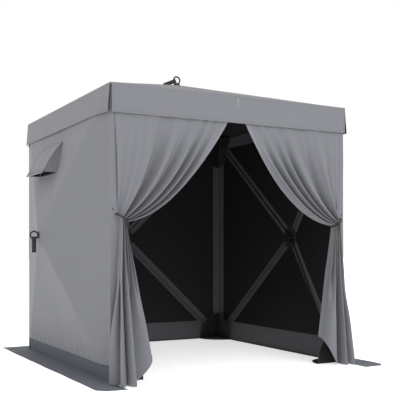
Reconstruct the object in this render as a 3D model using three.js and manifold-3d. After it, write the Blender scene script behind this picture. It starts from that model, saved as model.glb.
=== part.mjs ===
// Pop-up hub shelter: a square fabric room whose roof and three walls are each pushed outwards
// by a hub and four spread rods. The fourth side is a doorway with two tied-back curtains.
// Millimetres, +Z up, +Y to the back. The origin is the centre of the footprint, on the ground.
import * as THREE from 'three';
import { mergeVertices } from 'three/addons/utils/BufferGeometryUtils.js';
import Module from 'manifold-3d';

const wasm = await Module();
wasm.setup();

// ---- Driving dimensions ------------------------------------------------------------------

const FOOTPRINT = 1830; // side of the square, between opposite wall planes
const EAVE = 1885; // height of the eave, and of the walls
const ROOF_APEX = 2130; // height of the roof fabric at its hub
const WALL_BULGE = 190; // how far a wall's fabric stands out at its hub
const FABRIC = 2; // thickness of every fabric sheet
const GAP = 0.3; // clearance between pieces that touch

const HALF = FOOTPRINT / 2;
const OVERHANG = 20; // roof edge and valances beyond the wall plane
const VALANCE_DROP = 180;
const PANEL_STANDOFF = 8; // wind panel outside the mesh wall
const PANEL_BOTTOM = 105; // lower edge of a wind panel above the ground
const WALL_BOTTOM = 3; // lower edge of a mesh wall above the ground
const SKIRT_WIDTH = 190;
const SKIRT_BAND_TOP = 130; // upright part of the ground skirt, behind the wind panel
const SKIRT_FRONT = 1184; // how far the skirt's side strips run forward of the centre

const HUB_RADIUS = 42;
const HUB_THICKNESS = 16;
const PIVOT_DEPTH = 10; // rod pivots below the mid-plane of the fabric at the hub
const PIVOT_RADIUS = 30; // rod pivots from the hub's axis
const FLAT_HALF = 45; // half side of the flat patch of fabric clamped at a hub
const EYELET_RADIUS = 14; // hole in the fabric for the hub's neck
const PIN_RADIUS = 3;
const ROD_RADIUS = 5.5;
const FERRULE_RADIUS = 6;
const TIP_RADIUS = 8;
const WALL_TIP = { inset: 65, depth: 25, rise: 45 }; // tip from the corner, wall and eave
const ROOF_TIP = { inset: 45, height: 1862 };

const CAP_RADIUS = 28;
const CAP_HEIGHT = { wall: 7.7, roof: 20.7 };
const RING_RADIUS = 27; // to the middle of the ring's bar
const RING_BAR = 6; // radius of the bar
const STRAP_WIDTH = 31;
const STRAP_LENGTH = 92; // beyond the ring
const STRAP_THICKNESS = 6; // two layers of webbing
const STRAP_SEAM = 26; // from the ring's middle radius to where the two layers meet
const ROOF_STRAP_DROOP = THREE.MathUtils.degToRad(24); // strap lying on the roof's slope

const VENT = {
  centre: 80, // of its width, behind the wall's middle
  top: 275, // of its flap below the eave, along the slope
  width: 420,
  flap: 260,
  open: 20, // degrees
  window: 380,
  height: 225,
  margin: 15, // from the flap's top edge to the window
  rod: 5, // radius of the stiffener
};

const POCKET = { wide: 180, high: 230, clearance: 4 };
const TIE = { x: 852, y: 925, z: 1035 }; // where a curtain is gathered, beside its corner
const TIE_LOOP = { x: 52, y: 44, bar: 5 }; // half sizes of the cord loop and radius of the cord
const TIE_WIDTH = 70; // of the gathered cloth
const TIE_TILT = THREE.MathUtils.degToRad(35); // the loop is higher beside the corner

const CURTAIN = {
  thickness: 4,
  folds: 3,
  middleFold: 26, // depth of a fold half way to the tie
  tieFold: 22,
  hemFold: 24,
  hemRise: 200, // height of the hem's inner end
};

// ---- Materials ---------------------------------------------------------------------------

const FINISH = {
  oxford: { color: 0x8b8c8f, roughness: 0.85, metalness: 0 },
  skirt: { color: 0x6c6f77, roughness: 0.85, metalness: 0 },
  mesh: { color: 0x121314, roughness: 0.95, metalness: 0 },
  pocket: { color: 0x17181a, roughness: 0.9, metalness: 0 },
  fibreglass: { color: 0x101112, roughness: 0.45, metalness: 0 },
  nylon: { color: 0x131415, roughness: 0.5, metalness: 0 },
  webbing: { color: 0x1b1c1e, roughness: 0.9, metalness: 0 },
  cord: { color: 0x141516, roughness: 0.8, metalness: 0 },
};

const tent = new THREE.Group();

function addMesh(name, geometry, finish, parent = tent) {
  const mesh = new THREE.Mesh(geometry, new THREE.MeshStandardMaterial(FINISH[finish]));
  mesh.name = name;
  parent.add(mesh);
  return mesh;
}

// ---- Solids ------------------------------------------------------------------------------

function toSolid(geometry) {
  const bare = geometry.clone();
  for (const name of ['normal', 'uv']) bare.deleteAttribute(name);
  const merged = mergeVertices(bare, 1e-4);
  return new wasm.Manifold(
    new wasm.Mesh({
      numProp: 3,
      vertProperties: new Float32Array(merged.attributes.position.array),
      triVerts: new Uint32Array(merged.index.array),
    }),
  );
}

function toGeometry(solid) {
  const mesh = solid.getMesh();
  const geometry = new THREE.BufferGeometry();
  geometry.setAttribute('position', new THREE.BufferAttribute(mesh.vertProperties, 3));
  geometry.setIndex(new THREE.BufferAttribute(mesh.triVerts, 1));
  geometry.computeVertexNormals();
  return geometry;
}

const union = (solids) => solids.reduce((all, next) => all.add(next));

function box(size, centre) {
  return toSolid(new THREE.BoxGeometry(...size).translate(...centre));
}

// A round bar along Z from one height to another.
function bar(radius, low, high, sides = 12) {
  const length = high - low;
  const geometry = new THREE.CylinderGeometry(radius, radius, length, sides);
  return toSolid(geometry.rotateX(Math.PI / 2).translate(0, 0, (low + high) / 2));
}

// A turned piece about Z, from a profile of [radius, height] pairs.
function turned(profile, sides) {
  const points = profile.map(([radius, height]) => new THREE.Vector2(radius, height));
  return toSolid(new THREE.LatheGeometry(points, sides).rotateX(Math.PI / 2));
}

// A closed sheet: a triangulated middle surface thickened to both sides and walled at its rim.
function sheet(points, faces, thickness = FABRIC) {
  const normals = points.map(() => new THREE.Vector3());
  const rim = new Map();
  for (const face of faces) {
    const [a, b, c] = face.map((index) => points[index]);
    const normal = b.clone().sub(a).cross(c.clone().sub(a));
    for (const index of face) normals[index].add(normal);
    face.forEach((from, corner) => {
      const to = face[(corner + 1) % 3];
      if (!rim.delete(`${to},${from}`)) rim.set(`${from},${to}`, [from, to]);
    });
  }
  const layer = (side) =>
    points.map((point, index) =>
      point.clone().addScaledVector(normals[index].clone().normalize(), (side * thickness) / 2),
    );
  const count = points.length;
  const triangles = [
    ...faces,
    ...faces.map(([a, b, c]) => [c + count, b + count, a + count]),
    ...[...rim.values()].flatMap(([from, to]) => [
      [from, from + count, to],
      [to, from + count, to + count],
    ]),
  ];
  const geometry = new THREE.BufferGeometry();
  geometry.setFromPoints([...layer(1), ...layer(-1)]);
  geometry.setIndex(triangles.flat());
  geometry.computeVertexNormals();
  return geometry;
}

// A sheet over a grid, its points given by a function of two shares that run from 0 to 1.
function gridSheet(columns, rows, pointAt, thickness = FABRIC) {
  const points = [];
  const faces = [];
  for (let row = 0; row <= rows; row += 1) {
    for (let column = 0; column <= columns; column += 1) {
      points.push(pointAt(column / columns, row / rows));
      if (row === rows || column === columns) continue;
      const corner = row * (columns + 1) + column;
      const above = corner + columns + 1;
      faces.push([corner, corner + 1, above + 1], [corner, above + 1, above]);
    }
  }
  return sheet(points, faces, thickness);
}

// ---- The four dished faces ---------------------------------------------------------------

// Each face has its own axes: n points out of the room, v up a wall or to the back of the roof,
// and u completes the right-handed set. The origin is on the ground below the face's middle.
function faceFrame(out, up) {
  const n = new THREE.Vector3(...out);
  const v = new THREE.Vector3(...up);
  const u = v.clone().cross(n);
  return { n, v, u, turn: new THREE.Matrix4().makeBasis(u, v, n) };
}

const WALLS = {
  left: { ...faceFrame([-1, 0, 0], [0, 0, 1]), ends: ['back', 'front'] },
  right: { ...faceFrame([1, 0, 0], [0, 0, 1]), ends: ['front', 'back'] },
  back: { ...faceFrame([0, 1, 0], [0, 0, 1]), ends: ['right', 'left'] },
};
const ROOF = faceFrame([0, 0, 1], [0, 1, 0]);

const HUB_HEIGHT = EAVE / 2;

// The sloping square funnel that a hub pushes out of flat fabric, as a solid sheet in its
// face's own axes: four flat slopes, and a flat patch with an eyelet at the hub.
function dish({ halfWidth, low, high, edge, apex, offset = 0 }) {
  const middle = (low + high) / 2;
  const square = (half, reach, height) =>
    [[-1, -1], [1, -1], [1, 1], [-1, 1]].map(
      ([du, dv]) => new THREE.Vector3(du * half, middle + dv * reach, height + offset),
    );
  const outer = square(halfWidth, (high - low) / 2, edge);
  const inner = square(FLAT_HALF, FLAT_HALF, apex);
  const faces = [0, 1, 2, 3].flatMap((side) => {
    const next = (side + 1) % 4;
    return [[side, next, next + 4], [side, next + 4, side + 4]];
  });
  const solid = toSolid(sheet([...outer, ...inner], [...faces, [4, 5, 6], [4, 6, 7]]));
  const eyelet = bar(EYELET_RADIUS, apex - 50, apex + 50, 16).translate([0, middle, 0]);
  return solid.subtract(eyelet);
}

const wallDish = (offset) =>
  dish({ halfWidth: HALF, low: 0, high: EAVE, edge: 0, apex: WALL_BULGE, offset });

// Keeps only what lies between two heights of a wall, and within a half width of its middle.
function trimWall(solid, low, high, halfWidth = HALF) {
  const size = [2 * halfWidth, high - low, 4 * WALL_BULGE];
  return solid.intersect(box(size, [0, (low + high) / 2, 0]));
}

// Puts a solid that was made in a wall's axes into the room.
function placeOnWall(solid, wall) {
  const shift = wall.n.clone().multiplyScalar(HALF);
  return solid.transform(wall.turn.clone().setPosition(shift).elements);
}

// ---- Hubs, rods, caps, rings and straps ---------------------------------------------------

// A hub in its own axes: its middle plane holds the rod pivots, and +Z points out of the room.
function hubGeometry(angles) {
  const half = HUB_THICKNESS / 2;
  const chamfer = 3;
  const rim = HUB_RADIUS - chamfer;
  const disc = turned(
    [[0, -half], [rim, -half], [HUB_RADIUS, chamfer - half], [HUB_RADIUS, half], [0, half]],
    24,
  );
  const slotWidth = 2 * (FERRULE_RADIUS + GAP);
  const slotStart = PIVOT_RADIUS - FERRULE_RADIUS - 2;
  const slotLength = HUB_RADIUS + 10 - slotStart;
  const turnTo = (solid, angle) => solid.rotate([0, 0, THREE.MathUtils.radToDeg(angle)]);
  const slot = box([slotLength, slotWidth, 40], [slotStart + slotLength / 2, 0, 0]);
  const pinReach = FERRULE_RADIUS + GAP + 2;
  const pin = bar(PIN_RADIUS, -pinReach, pinReach).rotate([90, 0, 0]);
  const pinInPlace = pin.translate([PIVOT_RADIUS, 0, 0]);
  const slotted = angles.reduce((solid, angle) => solid.subtract(turnTo(slot, angle)), disc);
  return toGeometry(union([slotted, ...angles.map((angle) => turnTo(pinInPlace, angle))]));
}

// A rod along +Z from its pivot, which is bored along X, to its capped tip.
function rodGeometry(length) {
  const ferruleEnd = 62;
  const capLength = 30;
  const rod = turned(
    [
      [0, -FERRULE_RADIUS],
      [FERRULE_RADIUS - 2, -FERRULE_RADIUS],
      [FERRULE_RADIUS, 2 - FERRULE_RADIUS],
      [FERRULE_RADIUS, ferruleEnd],
      [ROD_RADIUS, ferruleEnd + 1],
      [ROD_RADIUS, length - capLength],
      [TIP_RADIUS, length - capLength + 2],
      [TIP_RADIUS, length - 4],
      [TIP_RADIUS - 3, length],
      [0, length],
    ],
    8,
  );
  const bore = bar(PIN_RADIUS + GAP, -20, 20, 10).rotate([0, 90, 0]);
  return toGeometry(rod.subtract(bore));
}

// The outer cap with its neck through the fabric: a shallow cup that the ring stands in.
function capGeometry(neckLength, height) {
  const bore = RING_BAR + GAP;
  const neck = 10;
  const cup = RING_BAR + 13;
  const floor = height - 4.3;
  const profile = [
    [bore, -neckLength],
    [neck, -neckLength],
    [neck, 0],
    [CAP_RADIUS - 2, 0],
    [CAP_RADIUS, 2],
    [CAP_RADIUS - 3, height],
    [cup, height],
    [cup - 2, floor],
    [bore, floor],
    [bore, -neckLength],
  ];
  return toGeometry(turned(profile, 16));
}

// The pull ring on its stem. The ring stands in the XZ plane, and its middle is the origin.
function ringGeometry(stemLength) {
  const ring = toSolid(new THREE.TorusGeometry(RING_RADIUS, RING_BAR, 8, 20).rotateX(Math.PI / 2));
  return toGeometry(ring.add(bar(RING_BAR, -RING_RADIUS - stemLength, -RING_RADIUS)));
}

// A loop of webbing round the ring's bar. It hangs along -Z from a ring in the XZ plane.
function strapGeometry() {
  const eyeHalf = 9; // room inside the loop for the bar, which curves across its width
  const layer = STRAP_THICKNESS / 2;
  const eyeRise = 5.5;
  const outline = new THREE.Shape();
  outline.absarc(0, -RING_RADIUS + eyeRise, eyeHalf + layer, 0, Math.PI, false);
  outline.lineTo(-eyeHalf - layer, -RING_RADIUS);
  outline.lineTo(-layer, -RING_RADIUS - STRAP_SEAM);
  outline.lineTo(-layer, -RING_RADIUS - RING_BAR - STRAP_LENGTH);
  outline.lineTo(layer, -RING_RADIUS - RING_BAR - STRAP_LENGTH);
  outline.lineTo(layer, -RING_RADIUS - STRAP_SEAM);
  outline.lineTo(eyeHalf + layer, -RING_RADIUS);
  const eye = new THREE.Path();
  eye.absarc(0, -RING_RADIUS + eyeRise, eyeHalf, 0, Math.PI, false);
  eye.lineTo(-eyeHalf, -RING_RADIUS);
  eye.lineTo(0, -RING_RADIUS - STRAP_SEAM + 8);
  eye.lineTo(eyeHalf, -RING_RADIUS);
  outline.holes.push(eye);
  const settings = { depth: STRAP_WIDTH, bevelEnabled: false, curveSegments: 8 };
  const geometry = new THREE.ExtrudeGeometry(outline, settings).translate(0, 0, -STRAP_WIDTH / 2);
  // The outline's Y becomes Z, and its thickness comes to lie across the ring's plane.
  return geometry.rotateX(Math.PI / 2).rotateZ(Math.PI / 2);
}

// Turns a strap that hangs along -Z to hang down a wall, in the wall's own axes.
const HANGING = new THREE.Matrix4().makeBasis(
  new THREE.Vector3(0, 0, 1),
  new THREE.Vector3(1, 0, 0),
  new THREE.Vector3(0, 1, 0),
);

// Everything that moves with one hub, in a group whose +Z points out of the room.
function addHub(name, frame, hubPlane, capBase, capHeight, tips, middle) {
  const group = new THREE.Group();
  group.quaternion.setFromRotationMatrix(frame.turn);
  group.position.copy(middle);
  tent.add(group);

  const angles = tips.map(({ at }) => Math.atan2(at.y, at.x));
  addMesh(`${name}_hub`, hubGeometry(angles), 'nylon', group).position.z = hubPlane;

  const hubTop = hubPlane + HUB_THICKNESS / 2;
  const neck = capBase - hubTop - GAP;
  addMesh(`${name}_hub_cap`, capGeometry(neck, capHeight), 'nylon', group).position.z = capBase;

  const ringMiddle = capBase + capHeight + RING_RADIUS + RING_BAR - 4;
  const stem = ringMiddle - RING_RADIUS - hubTop - GAP;
  // A wall's ring stands in the upright plane through its hub, the roof's in the XZ plane.
  const isRoof = frame === ROOF;
  const ring = addMesh(`${name}_pull_ring`, ringGeometry(stem), 'nylon', group);
  ring.position.z = ringMiddle;
  ring.rotation.z = isRoof ? 0 : Math.PI / 2;

  const strap = addMesh(`${name}_pull_strap`, strapGeometry(), 'webbing', group);
  strap.position.z = ringMiddle;
  if (isRoof) strap.rotation.y = Math.PI / 2 - ROOF_STRAP_DROOP;
  else strap.quaternion.setFromRotationMatrix(HANGING);

  for (const { label, at, depth } of tips) {
    const across = Math.hypot(at.x, at.y);
    const outwards = new THREE.Vector3(at.x / across, at.y / across, 0);
    const pivot = outwards.clone().multiplyScalar(PIVOT_RADIUS).setZ(hubPlane);
    const reach = new THREE.Vector3(at.x, at.y, depth).sub(pivot);
    const length = reach.length();
    const direction = reach.normalize();
    const pinAxis = outwards.clone().cross(new THREE.Vector3(0, 0, 1));
    const turn = new THREE.Matrix4().makeBasis(pinAxis, direction.clone().cross(pinAxis), direction);
    const pole = addMesh(`${name}_pole_${label}`, rodGeometry(length), 'fibreglass', group);
    pole.quaternion.setFromRotationMatrix(turn);
    pole.position.copy(pivot);
  }
}

function addHubs() {
  const wallCap = WALL_BULGE + PANEL_STANDOFF + FABRIC / 2 + GAP;
  const tipU = HALF - WALL_TIP.inset;
  const tipV = HUB_HEIGHT - WALL_TIP.rise;
  for (const [name, wall] of Object.entries(WALLS)) {
    const tips = [['bottom', -1], ['top', 1]].flatMap(([level, dv]) =>
      [-1, 1].map((du) => ({
        label: `${level}_${wall.ends[(du + 1) / 2]}`,
        at: new THREE.Vector2(du * tipU, dv * tipV),
        depth: -WALL_TIP.depth,
      })),
    );
    const middle = wall.n.clone().multiplyScalar(HALF).setZ(HUB_HEIGHT);
    addHub(name, wall, WALL_BULGE - PIVOT_DEPTH, wallCap, CAP_HEIGHT.wall, tips, middle);
  }
  const tips = [['front', -1], ['back', 1]].flatMap(([depthLabel, dv]) =>
    [['left', -1], ['right', 1]].map(([sideLabel, du]) => ({
      label: `${depthLabel}_${sideLabel}`,
      at: new THREE.Vector2(du, dv).multiplyScalar(HALF - ROOF_TIP.inset),
      depth: ROOF_TIP.height,
    })),
  );
  const roofCap = ROOF_APEX + FABRIC / 2 + GAP;
  addHub('roof', ROOF, ROOF_APEX - PIVOT_DEPTH, roofCap, CAP_HEIGHT.roof, tips, new THREE.Vector3());
}

// ---- Roof, walls and ground skirt ---------------------------------------------------------

function addRoof() {
  const half = HALF + OVERHANG;
  const roof = dish({ halfWidth: half, low: -half, high: half, edge: EAVE, apex: ROOF_APEX });
  addMesh('roof_cover', toGeometry(roof), 'oxford');
}

// A strip that hangs from the roof's edge. The walls' bulge pushes the lower edge of three of
// them out; the one over the doorway hangs straight.
function addValance(name, frame, flare) {
  const half = HALF + OVERHANG / 2;
  const top = EAVE - FABRIC / 2 - GAP;
  const cornerFade = 240;
  const geometry = gridSheet(12, 3, (across, down) => {
    const u = (2 * across - 1) * half;
    const push = flare * Math.min(1, 0.4 + (half - Math.abs(u)) / cornerFade);
    const point = new THREE.Vector3(0, 0, top - VALANCE_DROP * down);
    point.addScaledVector(frame.u, u);
    return point.addScaledVector(frame.n, HALF + OVERHANG + push * down);
  });
  addMesh(`${name}_valance`, geometry, 'oxford');
}

function addWalls() {
  const flare = 36;
  for (const [name, wall] of Object.entries(WALLS)) {
    // The back wall runs between the side walls, and the side walls run to the corners.
    const halfWidth = name === 'back' ? HALF - FABRIC / 2 - GAP : HALF + FABRIC / 2;
    const mesh = trimWall(wallDish(0), WALL_BOTTOM, EAVE, halfWidth);
    addMesh(`${name}_mesh_wall`, toGeometry(placeOnWall(mesh, wall)), 'mesh');
    addValance(name, wall, flare);
  }
  addValance('front', { n: new THREE.Vector3(0, -1, 0), u: new THREE.Vector3(1, 0, 0) }, 0);
}

const ventSlope = Math.atan2(WALL_BULGE, HUB_HEIGHT - FLAT_HALF);

// The middle of the vent's window, down the slope from the eave.
const windowMiddle = -VENT.top - VENT.margin - VENT.height / 2;

function addWindPanels() {
  const cornerGap = PANEL_STANDOFF - FABRIC / 2 - GAP;
  for (const [name, wall] of Object.entries(WALLS)) {
    const halfWidth = name === 'back' ? HALF + cornerGap : HALF;
    const panel = trimWall(wallDish(PANEL_STANDOFF), PANEL_BOTTOM, EAVE, halfWidth);
    let placed = placeOnWall(panel, wall);
    if (name === 'left') {
      const size = [60, VENT.window + 2 * GAP, VENT.height + 2 * GAP];
      const window = box(size, [0, VENT.centre, windowMiddle]);
      const tilt = THREE.MathUtils.radToDeg(ventSlope);
      const eaveEdge = [-HALF - PANEL_STANDOFF, 0, EAVE];
      placed = placed.subtract(window.rotate([0, tilt, 0]).translate(eaveEdge));
    }
    addMesh(`${name}_wind_panel`, toGeometry(placed), 'oxford');
  }
}

// The vent's parts share a group on the left wind panel's upper slope: its origin is on the
// eave, -Z runs down the slope, and -X points out.
function addVent() {
  const slope = new THREE.Group();
  slope.position.set(-HALF - PANEL_STANDOFF, 0, EAVE);
  slope.rotation.y = ventSlope;
  tent.add(slope);

  const window = new THREE.BoxGeometry(FABRIC - GAP, VENT.window, VENT.height);
  const windowMesh = addMesh('vent_window', window, 'mesh', slope);
  windowMesh.position.set(0, VENT.centre, windowMiddle);

  const hinge = new THREE.Group();
  hinge.position.set(-FABRIC - GAP, VENT.centre, -VENT.top);
  hinge.rotation.y = THREE.MathUtils.degToRad(VENT.open);
  slope.add(hinge);
  const flap = new THREE.BoxGeometry(FABRIC, VENT.width, VENT.flap).translate(0, 0, -VENT.flap / 2);
  addMesh('vent_flap', flap, 'oxford', hinge);
  const rod = new THREE.CylinderGeometry(VENT.rod, VENT.rod, VENT.width, 10);
  addMesh('vent_stiffener_rod', rod, 'fibreglass', hinge).position.z = -VENT.flap - VENT.rod - GAP;
}

// One piece round three sides: a strip flat on the ground and an upright band up each wall.
function addGroundSkirt() {
  const outer = HALF + SKIRT_WIDTH;
  const inner = HALF + FABRIC / 2 + GAP;
  const cut = 50; // the front ends' outer corners are cut off
  const plan = [
    [-inner, -SKIRT_FRONT], [-inner, inner], [inner, inner], [inner, -SKIRT_FRONT],
    [outer - cut, -SKIRT_FRONT], [outer, -SKIRT_FRONT + cut], [outer, outer],
    [-outer, outer], [-outer, -SKIRT_FRONT + cut], [-outer + cut, -SKIRT_FRONT],
  ];
  const shape = new THREE.Shape(plan.map(([x, y]) => new THREE.Vector2(x, y)));
  const flat = new THREE.ExtrudeGeometry(shape, { depth: FABRIC, bevelEnabled: false });
  const bandOffset = PANEL_STANDOFF / 2;
  const bands = Object.entries(WALLS).map(([name, wall]) => {
    const halfWidth = name === 'back' ? HALF + bandOffset : HALF;
    return placeOnWall(trimWall(wallDish(bandOffset), 0, SKIRT_BAND_TOP, halfWidth), wall);
  });
  addMesh('ground_skirt', toGeometry(union([toSolid(flat), ...bands])), 'skirt');
}

// ---- Corner pockets -----------------------------------------------------------------------

// A quarter-round patch that starts at a corner and follows the dished fabric behind it. Its two
// straight edges run along a and b; slopes say how fast the fabric rises away from each edge.
function patch(corner, a, b, reachA, reachB, out = new THREE.Vector3(), slopes = [0, 0]) {
  const segments = 6;
  const points = [corner.clone()];
  const faces = [];
  for (let step = 0; step <= segments; step += 1) {
    const angle = (step / segments) * (Math.PI / 2);
    const reach = 1 / Math.hypot(Math.cos(angle) / reachA, Math.sin(angle) / reachB);
    const [alongA, alongB] = [reach * Math.cos(angle), reach * Math.sin(angle)];
    const rise = Math.min(alongA * slopes[1], alongB * slopes[0]);
    const point = corner.clone().addScaledVector(a, alongA).addScaledVector(b, alongB);
    points.push(point.addScaledVector(out, rise));
    if (step > 0) faces.push([0, step, step + 1]);
  }
  return toSolid(sheet(points, faces));
}

function addPockets() {
  const inset = HALF - POCKET.clearance;
  const wallSlopes = [
    WALL_BULGE / (HUB_HEIGHT - FLAT_HALF), // away from the ground or the eave
    WALL_BULGE / (HALF - FLAT_HALF), // away from the corner
  ];
  const roofSlope = (ROOF_APEX - EAVE) / (HALF + OVERHANG - FLAT_HALF);
  const roofCorner = EAVE + (OVERHANG + POCKET.clearance) * roofSlope - POCKET.clearance;
  for (const [depthName, sy] of [['front', -1], ['back', 1]]) {
    for (const [sideName, sx] of [['left', -1], ['right', 1]]) {
      for (const [levelName, sz] of [['bottom', 1], ['top', -1]]) {
        const corner = new THREE.Vector3(sx * inset, sy * inset, sz > 0 ? FABRIC / 2 : roofCorner);
        const x = new THREE.Vector3(-sx, 0, 0);
        const y = new THREE.Vector3(0, -sy, 0);
        const z = new THREE.Vector3(0, 0, sz);
        const { wide, high } = POCKET;
        const sideOut = new THREE.Vector3(sx, 0, 0);
        const endOut = new THREE.Vector3(0, sy, 0);
        const endSlopes = sy > 0 ? wallSlopes : [0, 0];
        const deckSlopes = sz > 0 ? [0, 0] : [roofSlope, roofSlope];
        const pocket = union([
          patch(corner, y, z, wide, high, sideOut, wallSlopes),
          patch(corner, x, z, wide, high, endOut, endSlopes),
          patch(corner, x, y, wide, wide, new THREE.Vector3(0, 0, 1), deckSlopes),
        ]);
        addMesh(`${levelName}_pocket_${depthName}_${sideName}`, toGeometry(pocket), 'pocket');
      }
    }
  }
}

// ---- Curtains and their ties ---------------------------------------------------------------

const mix = (a, b, share) => a + (b - a) * share;

// A curtain is half the doorway wide. Above its tie each thread of cloth runs from the eave in a
// sagging curve to the tie; below it the threads fan out again to a slanting hem.
function curtainPoint(side, across, down) {
  const tieShare = 0.5; // share of the rows above the tie
  const wave = Math.sin(across * CURTAIN.folds * 2 * Math.PI);
  const along = (0.5 - across) * TIE_WIDTH;
  const bundle = {
    x: TIE.x + along * Math.cos(TIE_TILT),
    y: -TIE.y - CURTAIN.tieFold * wave,
    z: TIE.z + along * Math.sin(TIE_TILT),
  };
  let point;
  if (down <= tieShare) {
    const t = down / tieShare;
    const top = { x: mix(HALF - 3, 12, across), y: -HALF - 3, z: EAVE - 3 };
    const sag = { x: mix(top.x, TIE.x * 0.42, across), z: mix(EAVE * 0.75, TIE.z - 40, across) };
    const bend = (from, through, to) => (1 - t) ** 2 * from + 2 * t * (1 - t) * through + t * t * to;
    const fold = CURTAIN.middleFold * wave * t * (1 - t) * 2;
    point = {
      x: bend(top.x, sag.x, bundle.x),
      y: mix(top.y, bundle.y, t ** 1.5) - fold,
      z: bend(top.z, sag.z, bundle.z),
    };
  } else {
    const t = (down - tieShare) / (1 - tieShare);
    const hem = new THREE.CubicBezierCurve(
      new THREE.Vector2(930, -945),
      new THREE.Vector2(1010, -1170),
      new THREE.Vector2(840, -1140),
      new THREE.Vector2(675, -965),
    ).getPoint(across);
    const lowest = FABRIC + GAP + 3; // above the ground skirt
    const hemHeight = mix(lowest, CURTAIN.hemRise, across ** 1.5);
    const fold = CURTAIN.hemFold * wave * Math.sin(Math.PI * Math.min(1, t * 1.2) * 0.5);
    point = {
      x: mix(bundle.x, hem.x, t ** 1.15) + fold * 0.4,
      y: mix(bundle.y, hem.y - fold, t ** 1.25),
      z: mix(bundle.z, hemHeight, t),
    };
  }
  return new THREE.Vector3(side * point.x, point.y, point.z);
}

function addCurtains() {
  for (const [name, side] of [['left', -1], ['right', 1]]) {
    const drape = (across, down) => curtainPoint(side, side > 0 ? across : 1 - across, down);
    addMesh(`${name}_curtain`, gridSheet(21, 14, drape, CURTAIN.thickness), 'oxford');
    const tie = new THREE.TorusGeometry(1, TIE_LOOP.bar / TIE_LOOP.x, 8, 20);
    tie.scale(TIE_LOOP.x, TIE_LOOP.y, TIE_LOOP.x);
    const tieback = addMesh(`${name}_tieback`, tie, 'cord');
    tieback.position.set(side * TIE.x, -TIE.y, TIE.z);
    tieback.rotation.y = -side * TIE_TILT;
  }
}

addHubs();
addRoof();
addWalls();
addWindPanels();
addVent();
addGroundSkirt();
addPockets();
addCurtains();

export default tent;
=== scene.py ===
"""Looks of a pop-up hub shelter: sewn cloth, screens, rods, hubs, curtains and their ties.

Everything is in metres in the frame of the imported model, with +Z up, the doorway towards -Y
and the origin on the ground at the centre of the floor.
"""

import logging
import math
from dataclasses import dataclass
from enum import Enum
from typing import Callable, Iterable, Sequence

import bmesh
import bpy
import numpy as np
from mathutils import Matrix, Vector


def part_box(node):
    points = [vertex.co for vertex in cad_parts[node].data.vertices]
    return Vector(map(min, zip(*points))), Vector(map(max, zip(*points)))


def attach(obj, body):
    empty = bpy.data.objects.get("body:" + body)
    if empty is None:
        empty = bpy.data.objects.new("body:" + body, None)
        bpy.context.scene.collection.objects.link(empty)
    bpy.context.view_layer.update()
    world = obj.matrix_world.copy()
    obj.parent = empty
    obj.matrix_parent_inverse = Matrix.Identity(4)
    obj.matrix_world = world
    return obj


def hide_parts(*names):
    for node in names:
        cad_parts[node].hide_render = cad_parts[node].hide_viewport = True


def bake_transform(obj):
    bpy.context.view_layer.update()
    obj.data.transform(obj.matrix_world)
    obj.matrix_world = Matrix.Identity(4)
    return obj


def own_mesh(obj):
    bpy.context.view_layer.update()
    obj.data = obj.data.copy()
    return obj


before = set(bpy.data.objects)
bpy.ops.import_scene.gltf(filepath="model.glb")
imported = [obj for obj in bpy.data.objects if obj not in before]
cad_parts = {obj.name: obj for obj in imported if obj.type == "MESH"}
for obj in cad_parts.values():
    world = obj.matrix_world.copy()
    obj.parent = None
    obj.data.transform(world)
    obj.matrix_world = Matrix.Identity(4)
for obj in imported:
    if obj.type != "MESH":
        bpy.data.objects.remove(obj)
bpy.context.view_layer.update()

log = logging.getLogger("shelter")

MM = 0.001
TURN = 2 * math.pi
Points = np.ndarray
Triple = tuple[float, float, float]
Piece, Material = bpy.types.Object, bpy.types.Material
Tree, Socket = bpy.types.NodeTree, bpy.types.NodeSocket


# ---- Helpers for finishes ----


def linear(colour: str) -> tuple[float, float, float, float]:
    """Turns an sRGB hex colour into linear red, green, blue and alpha.

    Args:
        colour: the colour as #rrggbb.

    Returns:
        The linear colour with full alpha.
    """
    shares = [int(colour[at : at + 2], 16) / 255 for at in (1, 3, 5)]
    bent = [s / 12.92 if s <= 0.04045 else ((s + 0.055) / 1.055) ** 2.4 for s in shares]
    return (bent[0], bent[1], bent[2], 1.0)


def add_node(tree: Tree, kind: str, inputs: dict | None = None, **settings: object) -> bpy.types.Node:
    """Adds a node with its settings, and gives its inputs a value or a link.

    Args:
        tree: the node tree that gets the node.
        kind: the node's type.
        inputs: for an input's name or number, a value, or the socket or node to link from.
        **settings: the node's own properties.

    Returns:
        The new node.
    """
    node = tree.nodes.new(kind)
    for key, value in settings.items():
        setattr(node, key, value)
    for key, value in (inputs or {}).items():
        value = value.outputs[0] if isinstance(value, bpy.types.Node) else value
        if isinstance(value, Socket):
            tree.links.new(value, node.inputs[key])
        else:
            node.inputs[key].default_value = value
    return node


def start_material(name: str) -> tuple[Material, Tree]:
    """Makes an empty material and gives it with its tree."""
    material = bpy.data.materials.new(name)
    material.use_nodes = True
    material.node_tree.nodes.clear()
    return material, material.node_tree


def dress(tree: Tree, inputs: dict) -> None:
    """Ends a material's tree with a Principled shader that has these inputs, and its output."""
    shader = add_node(tree, "ShaderNodeBsdfPrincipled", inputs)
    add_node(tree, "ShaderNodeOutputMaterial", {"Surface": shader})


def wave_of(tree: Tree, length: Socket, pitch: float) -> bpy.types.Node:
    """Adds a sine, from -1 to 1, of a length in metres.

    Args:
        tree: the tree to add to.
        length: the socket that carries the length.
        pitch: the length of one wave, in metres.

    Returns:
        The node of the wave.
    """
    scaled = add_node(tree, "ShaderNodeMath", {0: length, 1: TURN / pitch}, operation="MULTIPLY")
    return add_node(tree, "ShaderNodeMath", {0: scaled}, operation="SINE")


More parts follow.
